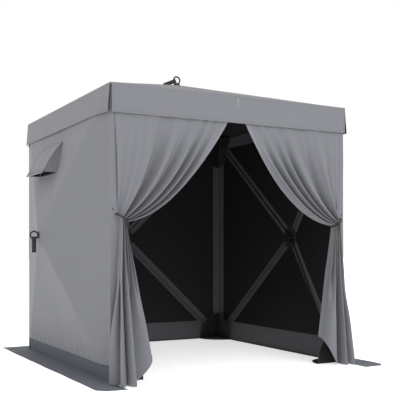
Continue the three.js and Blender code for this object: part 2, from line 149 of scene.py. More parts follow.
def mottled(tree: Tree, place: Socket, size: float, light: str, dark: str, most: float) -> Socket:
    """Adds a cloudy mix of two colours.

    Args:
        tree: the tree to add to.
        place: the socket of the coordinates.
        size: the width of one cloud, in metres.
        light: the main colour.
        dark: the colour of the clouds.
        most: the largest share of the dark colour.

    Returns:
        The socket of the mixed colour.
    """
    noise = {"Vector": place, "Scale": 1 / size, "Detail": 4.0, "Roughness": 0.6}
    clouds = add_node(tree, "ShaderNodeTexNoise", noise)
    limits = {"Value": clouds, "From Min": 0.3, "From Max": 0.7, "To Max": most}
    inputs = {"Factor": add_node(tree, "ShaderNodeMapRange", limits), "A": linear(light), "B": linear(dark)}
    return add_node(tree, "ShaderNodeMix", inputs, data_type="RGBA").outputs["Result"]


# ---- Finishes ----


@dataclass(frozen=True)
class WovenCloth:
    """Plain-woven polyester: crossed threads give a fine matt checker and a soft edge sheen."""

    name: str
    light: str
    dark: str
    pitch: float = 2.4 * MM  # threads lie 0.5 mm apart, drawn coarser so that they show
    depth: float = 0.16 * MM
    roughness: float = 0.78
    sheen: float = 0.12
    cloud: float = 180 * MM
    clouds: float = 0.35

    def material(self) -> Material:
        """Builds the cloth's material, which follows the piece's own UV map in metres."""
        material, tree = start_material(self.name)
        uv = add_node(tree, "ShaderNodeUVMap", uv_map="cloth")
        place = add_node(tree, "ShaderNodeTexCoord").outputs["Object"]
        split = add_node(tree, "ShaderNodeSeparateXYZ", {0: uv}).outputs
        warp, weft = (wave_of(tree, split[axis], self.pitch) for axis in ("X", "Y"))
        checker = add_node(tree, "ShaderNodeMath", {0: warp, 1: weft}, operation="MULTIPLY")
        noise = {"Vector": uv, "Scale": 0.35 / self.pitch, "Detail": 3.0}
        slub = add_node(tree, "ShaderNodeTexNoise", noise)
        height = add_node(tree, "ShaderNodeMath", {0: slub, 1: 0.8, 2: checker}, operation="MULTIPLY_ADD")
        bump = add_node(tree, "ShaderNodeBump", {"Height": height, "Distance": self.depth, "Strength": 0.55})
        colour = mottled(tree, place, self.cloud, self.light, self.dark, self.clouds)
        limits = {"Value": height, "From Min": -0.6, "From Max": 1.4, "To Min": 0.9, "To Max": 1.06}
        thread = add_node(tree, "ShaderNodeMapRange", limits)
        toned = add_node(tree, "ShaderNodeVectorMath", {0: colour, "Scale": thread}, operation="SCALE")
        dress(
            tree, {"Base Color": toned, "Normal": bump, "Roughness": self.roughness,
            "Specular IOR Level": 0.3, "Sheen Weight": self.sheen, "Sheen Roughness": 0.5}
        )
        return material


@dataclass(frozen=True)
class ScreenMesh:
    """Knitted black polyester screen: round threads with dark eyes between them."""

    name: str
    thread: str
    eye: str
    pitch: float = 4 * MM  # real eyes are 1.2 mm wide, drawn coarser so that they show

    def material(self) -> Material:
        """Builds the screen's material, whose eyes follow the piece's own UV map in metres."""
        material, tree = start_material(self.name)
        uv = add_node(tree, "ShaderNodeUVMap", uv_map="cloth")
        knit = {"Vector": uv, "Scale": 1 / self.pitch, "Randomness": 0.25}
        cells = add_node(tree, "ShaderNodeTexVoronoi", knit, feature="DISTANCE_TO_EDGE").outputs["Distance"]
        share = add_node(tree, "ShaderNodeMapRange", {"Value": cells, "From Min": 0.1, "From Max": 0.22})
        inputs = {"Factor": share, "A": linear(self.thread), "B": linear(self.eye)}
        mix = add_node(tree, "ShaderNodeMix", inputs, data_type="RGBA").outputs["Result"]
        relief = {"Height": share, "Distance": 0.4 * MM, "Strength": 0.5}
        bump = add_node(tree, "ShaderNodeBump", relief, invert=True)
        dress(tree, {"Base Color": mix, "Normal": bump, "Roughness": 0.8, "Specular IOR Level": 0.25})
        return material


@dataclass(frozen=True)
class RibbedTape:
    """Woven tape, webbing or braid: ribs run across its length and catch the light."""

    name: str
    light: str
    dark: str
    rib: float  # pitch of the ribs along the tape's length
    slant: float = 0.0  # share by which a rib leans over, as the strands of a braid do
    depth: float = 0.25 * MM
    roughness: float = 0.7

    def material(self) -> Material:
        """Builds the tape's material: V of its UV map runs along the tape, in metres."""
        material, tree = start_material(self.name)
        uv = add_node(tree, "ShaderNodeUVMap", uv_map="cloth")
        split = add_node(tree, "ShaderNodeSeparateXYZ", {0: uv}).outputs
        along = {0: split["X"], 1: self.slant, 2: split["Y"]}
        lean = add_node(tree, "ShaderNodeMath", along, operation="MULTIPLY_ADD")
        ribs = wave_of(tree, lean.outputs[0], self.rib)
        tone = add_node(tree, "ShaderNodeMapRange", {"Value": ribs, "From Min": -1.0})
        inputs = {"Factor": tone, "A": linear(self.dark), "B": linear(self.light)}
        mix = add_node(tree, "ShaderNodeMix", inputs, data_type="RGBA").outputs["Result"]
        bump = add_node(tree, "ShaderNodeBump", {"Height": tone, "Distance": self.depth, "Strength": 0.8})
        dress(tree, {"Base Color": mix, "Normal": bump, "Roughness": self.roughness, "Sheen Weight": 0.15})
        return material


@dataclass(frozen=True)
class MouldedNylon:
    """Injection-moulded nylon: an even fine spark-eroded grain, half matt."""

    name: str
    colour: str
    grain: float = 0.9 * MM
    roughness: float = 0.42

    def material(self) -> Material:
        """Builds the nylon's material on Object coordinates."""
        material, tree = start_material(self.name)
        place = add_node(tree, "ShaderNodeTexCoord").outputs["Object"]
        grain = add_node(
            tree, "ShaderNodeTexNoise", {"Vector": place, "Scale": 1 / self.grain, "Detail": 2.0}
        )
        bump = add_node(tree, "ShaderNodeBump", {"Height": grain, "Distance": 0.08 * MM, "Strength": 0.5})
        limits = {"Value": grain, "To Min": self.roughness - 0.08, "To Max": self.roughness + 0.1}
        rough = add_node(tree, "ShaderNodeMapRange", limits)
        colour = mottled(tree, place, 30 * MM, self.colour, "#0b0c0d", 0.3)
        dress(tree, {"Base Color": colour, "Roughness": rough, "Normal": bump, "IOR": 1.53})
        return material


@dataclass(frozen=True)
class PultrudedRod:
    """Pultruded glass fibre: long fibres under a clear resin skin make streaks along the rod."""

    name: str
    colour: str
    streak: str

    def material(self) -> Material:
        """Builds the rod's material: U of its UV map runs round the rod and V along it."""
        material, tree = start_material(self.name)
        uv = add_node(tree, "ShaderNodeUVMap", uv_map="cloth")
        fibres = add_node(tree, "ShaderNodeMapping", {"Vector": uv, "Scale": (900.0, 9.0, 1.0)})
        noise = add_node(tree, "ShaderNodeTexNoise", {"Vector": fibres, "Scale": 1.0, "Detail": 2.0})
        inputs = {"Factor": noise, "A": linear(self.colour), "B": linear(self.streak)}
        mix = add_node(tree, "ShaderNodeMix", inputs, data_type="RGBA").outputs["Result"]
        resin = {"IOR": 1.55, "Coat Weight": 0.3, "Coat Roughness": 0.2}
        dress(tree, {"Base Color": mix, "Roughness": 0.32, **resin})
        return material


@dataclass(frozen=True)
class SpunThread:
    """Spun polyester thread: short fibres make it matt and faintly uneven."""

    name: str
    light: str
    dark: str

    def material(self) -> Material:
        """Builds the thread's material on Object coordinates."""
        material, tree = start_material(self.name)
        place = add_node(tree, "ShaderNodeTexCoord").outputs["Object"]
        colour = mottled(tree, place, 2 * MM, self.light, self.dark, 0.8)
        dress(tree, {"Base Color": colour, "Roughness": 0.65, "Sheen Weight": 0.2})
        return material


@dataclass(frozen=True)
class PlatedSteel:
    """Zinc-plated steel: a dull silver with faint drawing marks."""

    name: str
    colour: str

    def material(self) -> Material:
        """Builds the plated steel's material on Object coordinates."""
        material, tree = start_material(self.name)
        place = add_node(tree, "ShaderNodeTexCoord").outputs["Object"]
        marks = add_node(
            tree, "ShaderNodeTexNoise", {"Vector": place, "Scale": 1 / (0.8 * MM), "Detail": 3.0}
        )
        rough = add_node(tree, "ShaderNodeMapRange", {"Value": marks, "To Min": 0.25, "To Max": 0.45})
        dress(tree, {"Roughness": rough, "Base Color": linear(self.colour), "Metallic": 1.0})
        return material


class Finish(Enum):
    """Every finish on the shelter."""

    OXFORD = WovenCloth("woven polyester oxford, grey face", "#6f7075", "#696b70")
    # The back of the oxford has a black coating: flatter than the face and a little glossier.
    COATING = WovenCloth(
        "black coated back of the oxford", "#1b1c1d", "#212224", depth=0.06 * MM, roughness=0.6, sheen=0.05
    )
    SKIRT = WovenCloth("woven polyester oxford, blue-grey skirt", "#4d525e", "#474c57")
    BAND = WovenCloth("woven polyester band, charcoal", "#4a4b4e", "#424447", sheen=0.15)
    POCKET = WovenCloth(
        "coarse black pack cloth", "#0b0c0d", "#101112", pitch=3.2 * MM, depth=0.25 * MM, sheen=0.1
    )
    PATCH = WovenCloth("woven polyester oxford, doubled patch", "#787a7f", "#727479")
    SCREEN = ScreenMesh("knitted polyester insect screen, black", "#1e1f21", "#080808")
    WEBBING = RibbedTape("woven polypropylene webbing, black", "#232427", "#0c0d0e", rib=3.2 * MM)
    BINDING = RibbedTape("woven binding tape, grey", "#6f7176", "#636569", rib=2.4 * MM)
    DARK_BINDING = RibbedTape("woven binding tape, black", "#1d1e20", "#0f1011", rib=2.4 * MM)
    BRAID = RibbedTape("braided polyester cord, black", "#1f2022", "#090a0a", rib=3.5 * MM, slant=1.0)
    THREAD = SpunThread("spun polyester thread, grey", "#696b70", "#585a5f")
    DARK_THREAD = SpunThread("spun polyester thread, black", "#2a2b2d", "#1a1b1c")
    ZIP_COIL = SpunThread("drawn nylon zip coil, grey", "#73757a", "#54565b")
    NYLON = MouldedNylon("injection moulded nylon, black", "#131415")
    ROD = PultrudedRod("pultruded glass fibre rod, black", "#0d0e0f", "#1e1f21")
    STEEL = PlatedSteel("zinc plated steel", "#a9abae")

    def get(self) -> Material:
        """Gives this finish's material, which is built once."""
        return bpy.data.materials.get(self.value.name) or self.value.material()


COATED = (Finish.OXFORD, Finish.COATING)


class Slot(Enum):
    """The record's material slots."""

    OXFORD = "oxford"
    SKIRT = "skirt_oxford"
    SCREEN = "screen_mesh"
    POCKET = "pocket_fabric"
    ROD = "fibreglass_rod"
    NYLON = "moulded_nylon"
    WEBBING = "webbing"
    CORD = "cord"


# ---- Helpers for meshes ----


def stacked(*axes: Points) -> Points:
    """Puts arrays side by side as the last axis of one array."""
    return np.stack(np.broadcast_arrays(*axes), axis=-1)


def matched(first: Points | float, second: Points | float) -> list[Points]:
    """Gives two arrays of numbers the same shape."""
    return np.broadcast_arrays(np.asarray(first, float), np.asarray(second, float))


def lengths_along(path: Points) -> Points:
    """Measures how far along a line each of its points lies."""
    return np.concatenate([[0], np.cumsum(np.linalg.norm(np.diff(path, axis=0), axis=1))])


def unit(vectors: Points) -> Points:
    """Scales vectors in the last axis of an array to a length of 1."""
    return vectors / np.maximum(np.linalg.norm(vectors, axis=-1, keepdims=True), 1e-12)


def smooth_step(values: Points, low: float, high: float) -> Points:
    """Runs smoothly from 0 at low to 1 at high."""
    share = np.clip((values - low) / (high - low), 0, 1)
    return share * share * (3 - 2 * share)


def ticks(low: float, high: float, step: float, extra: Sequence[float] = ()) -> Points:
    """Spaces values evenly between two ends and adds some of its own.

    Args:
        low: the first value.
        high: the last value.
        step: the widest space between values.
        extra: further values, which replace even ones that lie close to them.

    Returns:
        The sorted values.
    """
    even = np.linspace(low, high, max(2, math.ceil((high - low) / step) + 1))
    held = np.array([low, high, *[value for value in extra if low < value < high]])
    clear = [value for value in even if np.abs(held - value).min() > 0.4 * step]
    return np.unique(np.concatenate([clear, held]).round(6))


def edge_ticks(low: float, high: float, step: float, hem: float, extra: Sequence[float] = ()) -> Points:
    """Spaces values between two ends, with close ones at the foot of a hem at each end."""
    steps = [hem - 1.5 * MM, hem + 1.0 * MM]
    ends = [low + value for value in steps] + [high - value for value in steps]
    return ticks(low, high, step, [*ends, *extra])


def grid_normals(grid: Points) -> Points:
    """Finds the unit normals of a grid of points, from its neighbours."""
    return unit(np.cross(np.gradient(grid, axis=1), np.gradient(grid, axis=0)))


def add_object(name: str, data: bpy.types.ID) -> Piece:
    """Adds an object that holds a mesh, a lamp or a camera to the scene."""
    added = bpy.data.objects.new(name, data)
    bpy.context.scene.collection.objects.link(added)
    return added


def new_piece(
    name: str, points: Iterable[Sequence[float]], faces: Iterable[Sequence[int]], uv: Points | None,
    finishes: Sequence[Finish], indices: Sequence[int] | None = None, crease: float = 40.0
) -> Piece:
    """Makes a piece from points and faces.

    Args:
        name: the piece's name.
        points: its points, in metres in the frame.
        faces: its faces, as the numbers of their points, facing outwards.
        uv: one UV pair in metres for each point, or None.
        finishes: the finishes of its material slots.
        indices: the slot of each face, or None where all are the first.
        crease: the angle in degrees from which an edge is sharp.

    Returns:
        The new object.
    """
    mesh = bpy.data.meshes.new(name)
    mesh.from_pydata([tuple(map(float, point)) for point in points], [], [list(face) for face in faces])
    mesh.polygons.foreach_set("use_smooth", np.ones(len(mesh.polygons), bool))
    if indices is not None:
        mesh.polygons.foreach_set("material_index", np.array(indices, np.int32))
    corners = np.empty(len(mesh.loops), np.int32)
    mesh.loops.foreach_get("vertex_index", corners)
    layer = mesh.uv_layers.new(name="cloth")
    if uv is None:
        uv = np.zeros((len(mesh.vertices), 2))
    layer.data.foreach_set("uv", np.asarray(uv, float)[corners].ravel())
    mesh.update()
    mesh.set_sharp_from_angle(angle=math.radians(crease))
    for finish in finishes:
        mesh.materials.append(finish.get())
    return add_object(name, mesh)


def closed_sheet(
    name: str, grid: Points, uv: Points, thickness: float, outward: Sequence[float],
    finishes: Sequence[Finish], raised: Points | float = 0.0, gone: Points | None = None, wrap: bool = False
) -> Piece:
    """Makes a closed sheet from a grid of points on its middle surface.

    Args:
        name: the piece's name.
        grid: the points, as rows x columns x 3.
        uv: the UV pairs in metres, as rows x columns x 2.
        thickness: the cloth's thickness.
        outward: a direction on the side that the first finish covers.
        finishes: the outer finish, and the inner one if it differs.
        raised: how much further out the outer face lies, as at a hem.
        gone: which cells are cut out, as rows - 1 x columns - 1 truths.
        wrap: whether the last column is the first one again, as round a ring.

    Returns:
        The sheet.
    """
    rows, columns = grid.shape[:2]
    normals = grid_normals(grid)
    if wrap:
        normals[:, 0] = normals[:, -1] = unit(normals[:, 0] + normals[:, -1])
    turned = float((normals.reshape(-1, 3) @ np.array(outward, float)).sum()) < 0
    if turned:
        normals = -normals
    lift = np.broadcast_to(np.asarray(raised, float), (rows, columns))[..., None]
    outer = (grid + normals * (thickness / 2 + lift)).reshape(-1, 3)
    inner = (grid - normals * thickness / 2).reshape(-1, 3)
    number = np.arange(rows * columns).reshape(rows, columns)
    if wrap:
        number[:, -1] = number[:, 0]
    cells = stacked(number[:-1, :-1], number[:-1, 1:], number[1:, 1:], number[1:, :-1])
    if turned:
        cells = cells[..., ::-1]
    kept = cells.reshape(-1, 4) if gone is None else cells[~gone]
    used, kept = np.unique(kept, return_inverse=True)
    kept = kept.reshape(-1, 4)
    count = len(used)
    rim: dict[tuple[int, int], None] = {}
    for face in kept.tolist():
        for start, end in zip(face, face[1:] + face[:1]):
            if (end, start) in rim:
                del rim[(end, start)]
            else:
                rim[(start, end)] = None
    walls = [(end, start, start + count, end + count) for start, end in rim]
    faces = [*kept.tolist(), *(kept[:, ::-1] + count).tolist(), *walls]
    inside = len(finishes) - 1
    indices = [0] * len(kept) + [inside] * len(kept) + [0] * len(walls)
    flat_uv = uv.reshape(-1, 2)[used]
    return new_piece(
        name, np.concatenate([outer[used], inner[used]]), faces, np.concatenate([flat_uv, flat_uv]),
        finishes, indices
    )


def lathe(
    name: str, profile: Sequence[tuple[float, float]], sides: int, place: Matrix, finish: Finish
) -> Piece:
    """Turns a profile about Z and puts it in its place.

    Args:
        name: the piece's name.
        profile: pairs of radius and height; a closed ring of them, or one from axis to axis.
        sides: how many sides the turned piece has.
        place: where its own axes lie in the frame.
        finish: its finish.

    Returns:
        The turned piece.
    """
    ends_on_axis = profile[0][0] == 0 and profile[-1][0] == 0
    points, uv, faces = [], [], []
    length = 0.0
    for number, (radius, height) in enumerate(profile):
        if number:
            length += math.dist(profile[number - 1], (radius, height))
        for side in range(sides + 1):
            angle = TURN * side / sides
            points.append(place @ Vector((radius * math.cos(angle), radius * math.sin(angle), height)))
            uv.append((side / sides * TURN * radius, length))
    ring = sides + 1
    spans = len(profile) - 1 if ends_on_axis else len(profile)
    for row in range(spans):
        above = (row + 1) % len(profile)
        for side in range(sides):
            faces.append(
                (row * ring + side, row * ring + side + 1, above * ring + side + 1, above * ring + side)
            )
    return welded(new_piece(name, points, faces, np.array(uv), [finish], crease=35.0))


def welded(piece: Piece, distance: float = 0.02 * MM) -> Piece:
    """Merges a closed piece's doubled points and turns all its faces outwards."""
    work = bmesh.new()
    work.from_mesh(piece.data)
    bmesh.ops.remove_doubles(work, verts=work.verts, dist=distance)
    bmesh.ops.dissolve_degenerate(work, edges=work.edges, dist=distance)
    bmesh.ops.recalc_face_normals(work, faces=work.faces)
    work.to_mesh(piece.data)
    work.free()
    piece.data.update()
    return piece


def swept(
    name: str, path: Points, section: Callable[[float], Sequence[tuple[float, float]]], up: Points,
    finish: Finish, closed: bool = False
) -> Piece:
    """Sweeps a section along a path.

    Args:
        name: the piece's name.
        path: the points of the path, as count x 3.
        section: gives the section's outline, as pairs across and up, at a share of the path.
        up: one up direction for the whole path, or one for each of its points.
        finish: the piece's finish.
        closed: whether the path joins up with itself.

    Returns:
        The swept piece.
    """
    count = len(path)
    if closed:
        along = unit(np.roll(path, -1, axis=0) - np.roll(path, 1, axis=0))
    else:
        along = unit(np.gradient(path, axis=0))
    ups = np.broadcast_to(np.asarray(up, float), path.shape)
    across = unit(np.cross(along, ups))
    ups = np.cross(across, along)
    lengths = lengths_along(path)
    points, uv = [], []
    for number in range(count):
        outline = section(number / max(1, count - 1))
        around = 0.0
        for at, (x, y) in enumerate(outline):
            if at:
                around += math.dist(outline[at - 1], (x, y))
            points.append(path[number] + across[number] * x + ups[number] * y)
            uv.append((around, lengths[number]))
    sides = len(outline)
    faces = []
    for number in range(count if closed else count - 1):
        after = (number + 1) % count
        for side in range(sides):
            turn = (side + 1) % sides
            faces.append(
                (number * sides + side, number * sides + turn, after * sides + turn, after * sides + side)
            )
    if not closed:
        faces.append(tuple(range(sides)))
        faces.append(tuple(reversed(range((count - 1) * sides, count * sides))))
    return welded(new_piece(name, points, faces, np.array(uv), [finish], crease=50.0))


def round_section(radius: float, sides: int = 12) -> Callable[[float], list[tuple[float, float]]]:
    """Gives a round section of one radius for swept."""
    outline = [
        (radius * math.cos(TURN * side / sides), radius * math.sin(TURN * side / sides))
        for side in range(sides)
    ]
    return lambda share: outline


def flat_section(width: float, height: float) -> Callable[[float], list[tuple[float, float]]]:
    """Gives the section of a flat tape with rounded edges for swept."""
    half, rise = width / 2, height / 2
    corner = min(half, rise) * 0.6
    outline = [
        (-half, -rise + corner), (-half + corner, -rise), (half - corner, -rise), (half, -rise + corner),
        (half, rise - corner), (half - corner, rise), (-half + corner, rise), (-half, rise - corner)
    ]
    return lambda share: outline


def joined(name: str, pieces: Sequence[Piece]) -> Piece:
    """Joins pieces into one object with all their finishes.

    Args:
        name: the name of the joined piece.
        pieces: the pieces, which are used up.

    Returns:
        The joined piece.
    """
    with bpy.context.temp_override(active_object=pieces[0], selected_editable_objects=list(pieces)):
        bpy.ops.object.join()
    pieces[0].name = name
    pieces[0].data.name = name
    return pieces[0]


def resampled(path: Points, step: float) -> Points:
    """Spaces the points of a line evenly, about a step apart, from its first to its last."""
    lengths = lengths_along(path)
    places = np.linspace(0, lengths[-1], max(2, round(lengths[-1] / step) + 1))
    return stacked(*(np.interp(places, lengths, path[:, axis]) for axis in range(3)))


def settle(pieces: Sequence[Piece], carrier: "str | DishedFace") -> None:
    """Puts pieces on what carries them, and logs their faces and skin area.

    Args:
        pieces: the pieces.
        carrier: the name of the body that they ride on, or the dished face that they follow.
    """
    for piece in pieces:
        if isinstance(carrier, str):
            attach(piece, carrier)
        else:
            carrier.follow(piece)
        faces = piece.data.polygons
        log.info("%s: %d faces, %.3f m2", piece.name, len(faces), sum(face.area for face in faces))


# ---- Rows of small parts ----


@dataclass(frozen=True)
class Row:
    """Small rounded parts laid at an even pitch along lines, such as stitches or zip teeth."""

    pitch: float
    length: float
    width: float
    finish: Finish

    def tree(self) -> Tree:
        """Builds the Geometry Nodes tree that lays the parts along a mesh's edges."""
        tree = bpy.data.node_groups.new("row of parts", "GeometryNodeTree")
        sockets = [
            ("Geometry", "NodeSocketGeometry", None), ("Pitch", "NodeSocketFloat", self.pitch),
            ("Length", "NodeSocketFloat", self.length), ("Width", "NodeSocketFloat", self.width),
            ("Finish", "NodeSocketMaterial", None)
        ]
        for name, kind, value in sockets:
            socket = tree.interface.new_socket(name, in_out="INPUT", socket_type=kind)
            if value is not None:
                socket.default_value = value
        tree.interface.new_socket("Geometry", in_out="OUTPUT", socket_type="NodeSocketGeometry")
        given = add_node(tree, "NodeGroupInput").outputs
        lines = add_node(tree, "GeometryNodeMeshToCurve", {"Mesh": given["Geometry"]})
        pitch = {"Curve": lines, "Length": given["Pitch"]}
        places = add_node(tree, "GeometryNodeCurveToPoints", pitch, mode="LENGTH").outputs
        along = {"Vector": places["Tangent"]}
        turn = add_node(tree, "FunctionNodeAlignRotationToVector", along, axis="Z")
        sizes = {"X": given["Width"], "Y": given["Width"], "Z": given["Length"]}
        size = add_node(tree, "ShaderNodeCombineXYZ", sizes)
        part = add_node(tree, "GeometryNodeMeshUVSphere", {"Segments": 6, "Rings": 4, "Radius": 0.5})
        laying = {"Points": places["Points"], "Instance": part, "Rotation": turn, "Scale": size}
        laid = add_node(tree, "GeometryNodeInstanceOnPoints", laying)
        real = add_node(tree, "GeometryNodeRealizeInstances", {0: laid})
        smooth = add_node(tree, "GeometryNodeSetShadeSmooth", {"Geometry": real})
        finish = {"Geometry": smooth, "Material": given["Finish"]}
        dressed = add_node(tree, "GeometryNodeSetMaterial", finish)
        add_node(tree, "NodeGroupOutput", {"Geometry": dressed})
        return tree

    def lay(self, name: str, lines: Sequence[Points]) -> Piece:
        """Lays a row along each line.

        Args:
            name: the name of the piece that all the rows make.
            lines: the lines, each as count x 3 points.

        Returns:
            The piece, as a plain mesh.
        """
        points, edges = [], []
        for line in lines:
            first = len(points)
            points.extend(tuple(map(float, point)) for point in line)
            edges.extend((at, at + 1) for at in range(first, len(points) - 1))
        base = bpy.data.meshes.new(name + "_lines")
        base.from_pydata(points, edges, [])
        carrier = add_object(name + "_lines", base)
        tree = self.tree()
        rule = carrier.modifiers.new("row", "NODES")
        rule.node_group = tree
        values = {
            "Pitch": self.pitch, "Length": self.length, "Width": self.width, "Finish": self.finish.get()
        }
        for socket in tree.interface.items_tree:
            if socket.name in values:
                rule[socket.identifier] = values[socket.name]
        depsgraph = bpy.context.evaluated_depsgraph_get()
        mesh = bpy.data.meshes.new_from_object(carrier.evaluated_get(depsgraph), depsgraph=depsgraph)
        mesh.name = name
        bpy.data.objects.remove(carrier)
        bpy.data.node_groups.remove(tree)
        return add_object(name, mesh)


# Lockstitch: real stitches are 3 mm long, drawn longer and thicker so that they show.
STITCHES = Row(pitch=8 * MM, length=6 * MM, width=1.3 * MM, finish=Finish.THREAD)
DARK_STITCHES = Row(pitch=8 * MM, length=6 * MM, width=1.3 * MM, finish=Finish.DARK_THREAD)
ZIP_TEETH = Row(pitch=2.6 * MM, length=1.8 * MM, width=4 * MM, finish=Finish.ZIP_COIL)


# ---- The room's sizes and its dished faces ----


@dataclass(frozen=True)
class Room:
    """Sizes of the room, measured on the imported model."""

    half: float
    eave: float
    roof_half: float
    roof_apex: float
    bulge: float
    panel_bottom: float
    skirt_outer: float
    skirt_front: float
    band_top: float

    @classmethod
    def measured(cls) -> "Room":
        """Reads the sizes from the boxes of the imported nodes."""
        sheet = 1 * MM  # half the thickness of a packed sheet
        panel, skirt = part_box("left_wind_panel"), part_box("ground_skirt")
        roof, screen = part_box("roof_cover"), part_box("left_mesh_wall")
        half = panel[1].y
        return cls(
            half=half, eave=panel[1].z, roof_half=roof[1].x, roof_apex=roof[1].z - sheet,
            bulge=-screen[0].x - sheet - half, panel_bottom=panel[0].z, skirt_outer=skirt[1].x,
            skirt_front=-skirt[0].y, band_top=skirt[1].z
        )


ROOM = Room.measured()


@dataclass(frozen=True)
class DishedFace:
    """A side of the room that its hub pushes outwards, with axes u across, v up and n out."""

    name: str
    out: Triple
    up: Triple
    foot: float  # distance of the undished face from the origin, along n
    half: float
    low: float
    high: float
    rise: float
    seed: int
    flat: float = 45 * MM  # half side of the flat patch at the hub
    sag: float = 9 * MM  # how far the cloth between the rods falls back
    softness: float = 0.02
    lag: float = 0.02

    @property
    def across(self) -> Points:
        """Gives the face's u axis."""
        return np.cross(self.up, self.out)

    @property
    def middle(self) -> float:
        """Gives the hub's place along v."""
        return (self.low + self.high) / 2

    @property
    def slide(self) -> str:
        """Gives a name for the slide of this face's hub."""
        return f"{self.name}_hub_slide"

    def shares(self, u: Points, v: Points) -> tuple[Points, Points]:
        """Finds how far a point is from the side edges and from the top or bottom edge.

        Args:
            u: the points' places across.
            v: their places up.

        Returns:
            Two shares that are 0 at the edge and 1 at the flat patch.
        """
        side = (self.half - np.abs(u)) / (self.half - self.flat)
        reach = (self.high - self.low) / 2
        end = (reach - np.abs(v - self.middle)) / (reach - self.flat)
        return side, end

    def share(self, u: Points, v: Points) -> Points:
        """Finds which share of the hub's push the cloth has at a point, from 0 to 1."""
        side, end = self.shares(u, v)
        soft = self.softness * np.clip((side + end) / 0.3, 0, 1)
        ridge = 0.5 * (side + end - np.sqrt((side - end) ** 2 + soft**2))
        flat = 0.5 * (ridge + 1 - np.sqrt((ridge - 1) ** 2 + self.softness**2))
        return np.clip(flat, 0, 1)

    def fall(self, u: Points, v: Points) -> Points:
        """Finds how far the cloth falls back between the rods."""
        side, end = self.shares(u, v)
        reach = (self.high - self.low) / 2
        height = np.clip(np.minimum(side, end), 0, 1)
        wide_u = np.maximum(self.half - height * (self.half - self.flat), self.flat)
        wide_v = np.maximum(reach - height * (reach - self.flat), self.flat)
        lateral = np.where(end < side, np.abs(u) / wide_u, np.abs(v - self.middle) / wide_v)
        return self.sag * (1 - np.clip(lateral, 0, 1) ** 2) * 4 * height * (1 - height)

    def wrinkles(self, u: Points, v: Points) -> Points:
        """Finds the small soft wrinkles of the cloth, which stand out from its face."""
        draw = np.random.default_rng(self.seed)
        total = np.zeros(np.broadcast(u, v).shape)
        for wave_length, height in ((0.62, 1.3), (0.37, 0.9), (0.19, 0.45)):
            for _ in range(3):
                angle, phase = draw.uniform(0, TURN), draw.uniform(0, TURN)
                along = u * math.cos(angle) + v * math.sin(angle)
                total += height * MM * (0.5 + 0.5 * np.sin(along * TURN / wave_length + phase))
        return total

    def point(self, u: Points, v: Points, offset: Points | float = 0.0) -> Points:
        """Gives the place of points of the cloth.

        Args:
            u: their places across.
            v: their places up.
            offset: how far out of the middle of the screen or roof they lie.

        Returns:
            The points, with a last axis of 3.
        """
        u, v = matched(u, v)
        n = self.foot + self.rise * self.share(u, v) - self.fall(u, v) + offset
        return n[..., None] * np.array(self.out) + u[
            ..., None
        ] * self.across + v[..., None] * np.array(self.up)

    def normal(self, u: float, v: float) -> Vector:
        """Gives the direction out of the cloth at a point."""
        step = 2 * MM
        along_u = self.point(u + step, v) - self.point(u - step, v)
        along_v = self.point(u, v + step) - self.point(u, v - step)
        return Vector(np.cross(along_u, along_v)).normalized()

    def follow(self, piece: Piece) -> Piece:
        """Bakes a piece's place into its own mesh, for cloth that lies on the face."""
        f"{self.name}_hub_set"
        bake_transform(piece)
        places = np.empty(len(piece.data.vertices) * 3)
        piece.data.vertices.foreach_get("co", places)
        places = places.reshape(-1, 3)
        return piece

    def ridge(self, side: int, end: int, margin: float = 0.0) -> Points:
        """Gives the two ends of a ridge line over a rod, as (u, v) pairs.

        Args:
            side: -1 or 1, the end of the u axis that the rod points to.
            end: -1 or 1, the end of the v axis.
            margin: how far short of the corner it starts.

        Returns:
            The corner's and the hub patch's places.
        """
        reach = (self.high - self.low) / 2
        corner = np.array([side * (self.half - margin), self.middle + end * (reach - margin)])
        patch = np.array([side * self.flat, self.middle + end * self.flat])
        return np.array([corner, patch])

    def strip(
        self, name: str, ends: Points, width: float, offset: float, thickness: float, finish: Finish,
        step: float = 18 * MM
    ) -> Piece:
        """Makes a flat tape that lies on the face along a line.

        Args:
            name: the tape's name.
            ends: the (u, v) places of its two ends.
            width: its width.
            offset: how far out of the face its middle lies.
            thickness: its thickness.
            finish: its finish.
            step: the length of its cells.

        Returns:
            The tape.
        """
        length = math.dist(*ends)
        along = np.linspace(0, 1, max(2, round(length / step) + 1))[:, None]
        aside = width * np.linspace(-0.5, 0.5, 7)[None, :]
        grid = self.run_points(ends, along, aside, offset)
        return closed_sheet(name, grid, stacked(aside, along * length), thickness, self.out, [finish])

    def run_points(self, ends: Points, along: Points, aside: Points | float, offset: float) -> Points:
        """Gives points beside a line on the face.

        Args:
            ends: the (u, v) places of the line's ends.
            along: the shares of its length at which they lie.
            aside: how far beside it they lie.
            offset: how far out of the face they lie.

        Returns:
            The points, with a last axis of 3.
        """
        run = ends[1] - ends[0]
        sideways = np.array([-run[1], run[0]]) / math.dist(*ends)
        place = ends[0] + run * along[..., None] + sideways * np.asarray(aside)[..., None]
        u = np.clip(place[..., 0], -self.half, self.half)
        v = np.clip(place[..., 1], self.low + 2 * MM, self.high)
        return self.point(u, v, offset)

    def line(self, ends: Points, aside: float, offset: float, step: float = 15 * MM) -> Points:
        """Gives the points of a line on the face, moved sideways by a distance."""
        along = np.linspace(0, 1, max(2, round(math.dist(*ends) / step)))
        return self.run_points(ends, along, aside, offset)

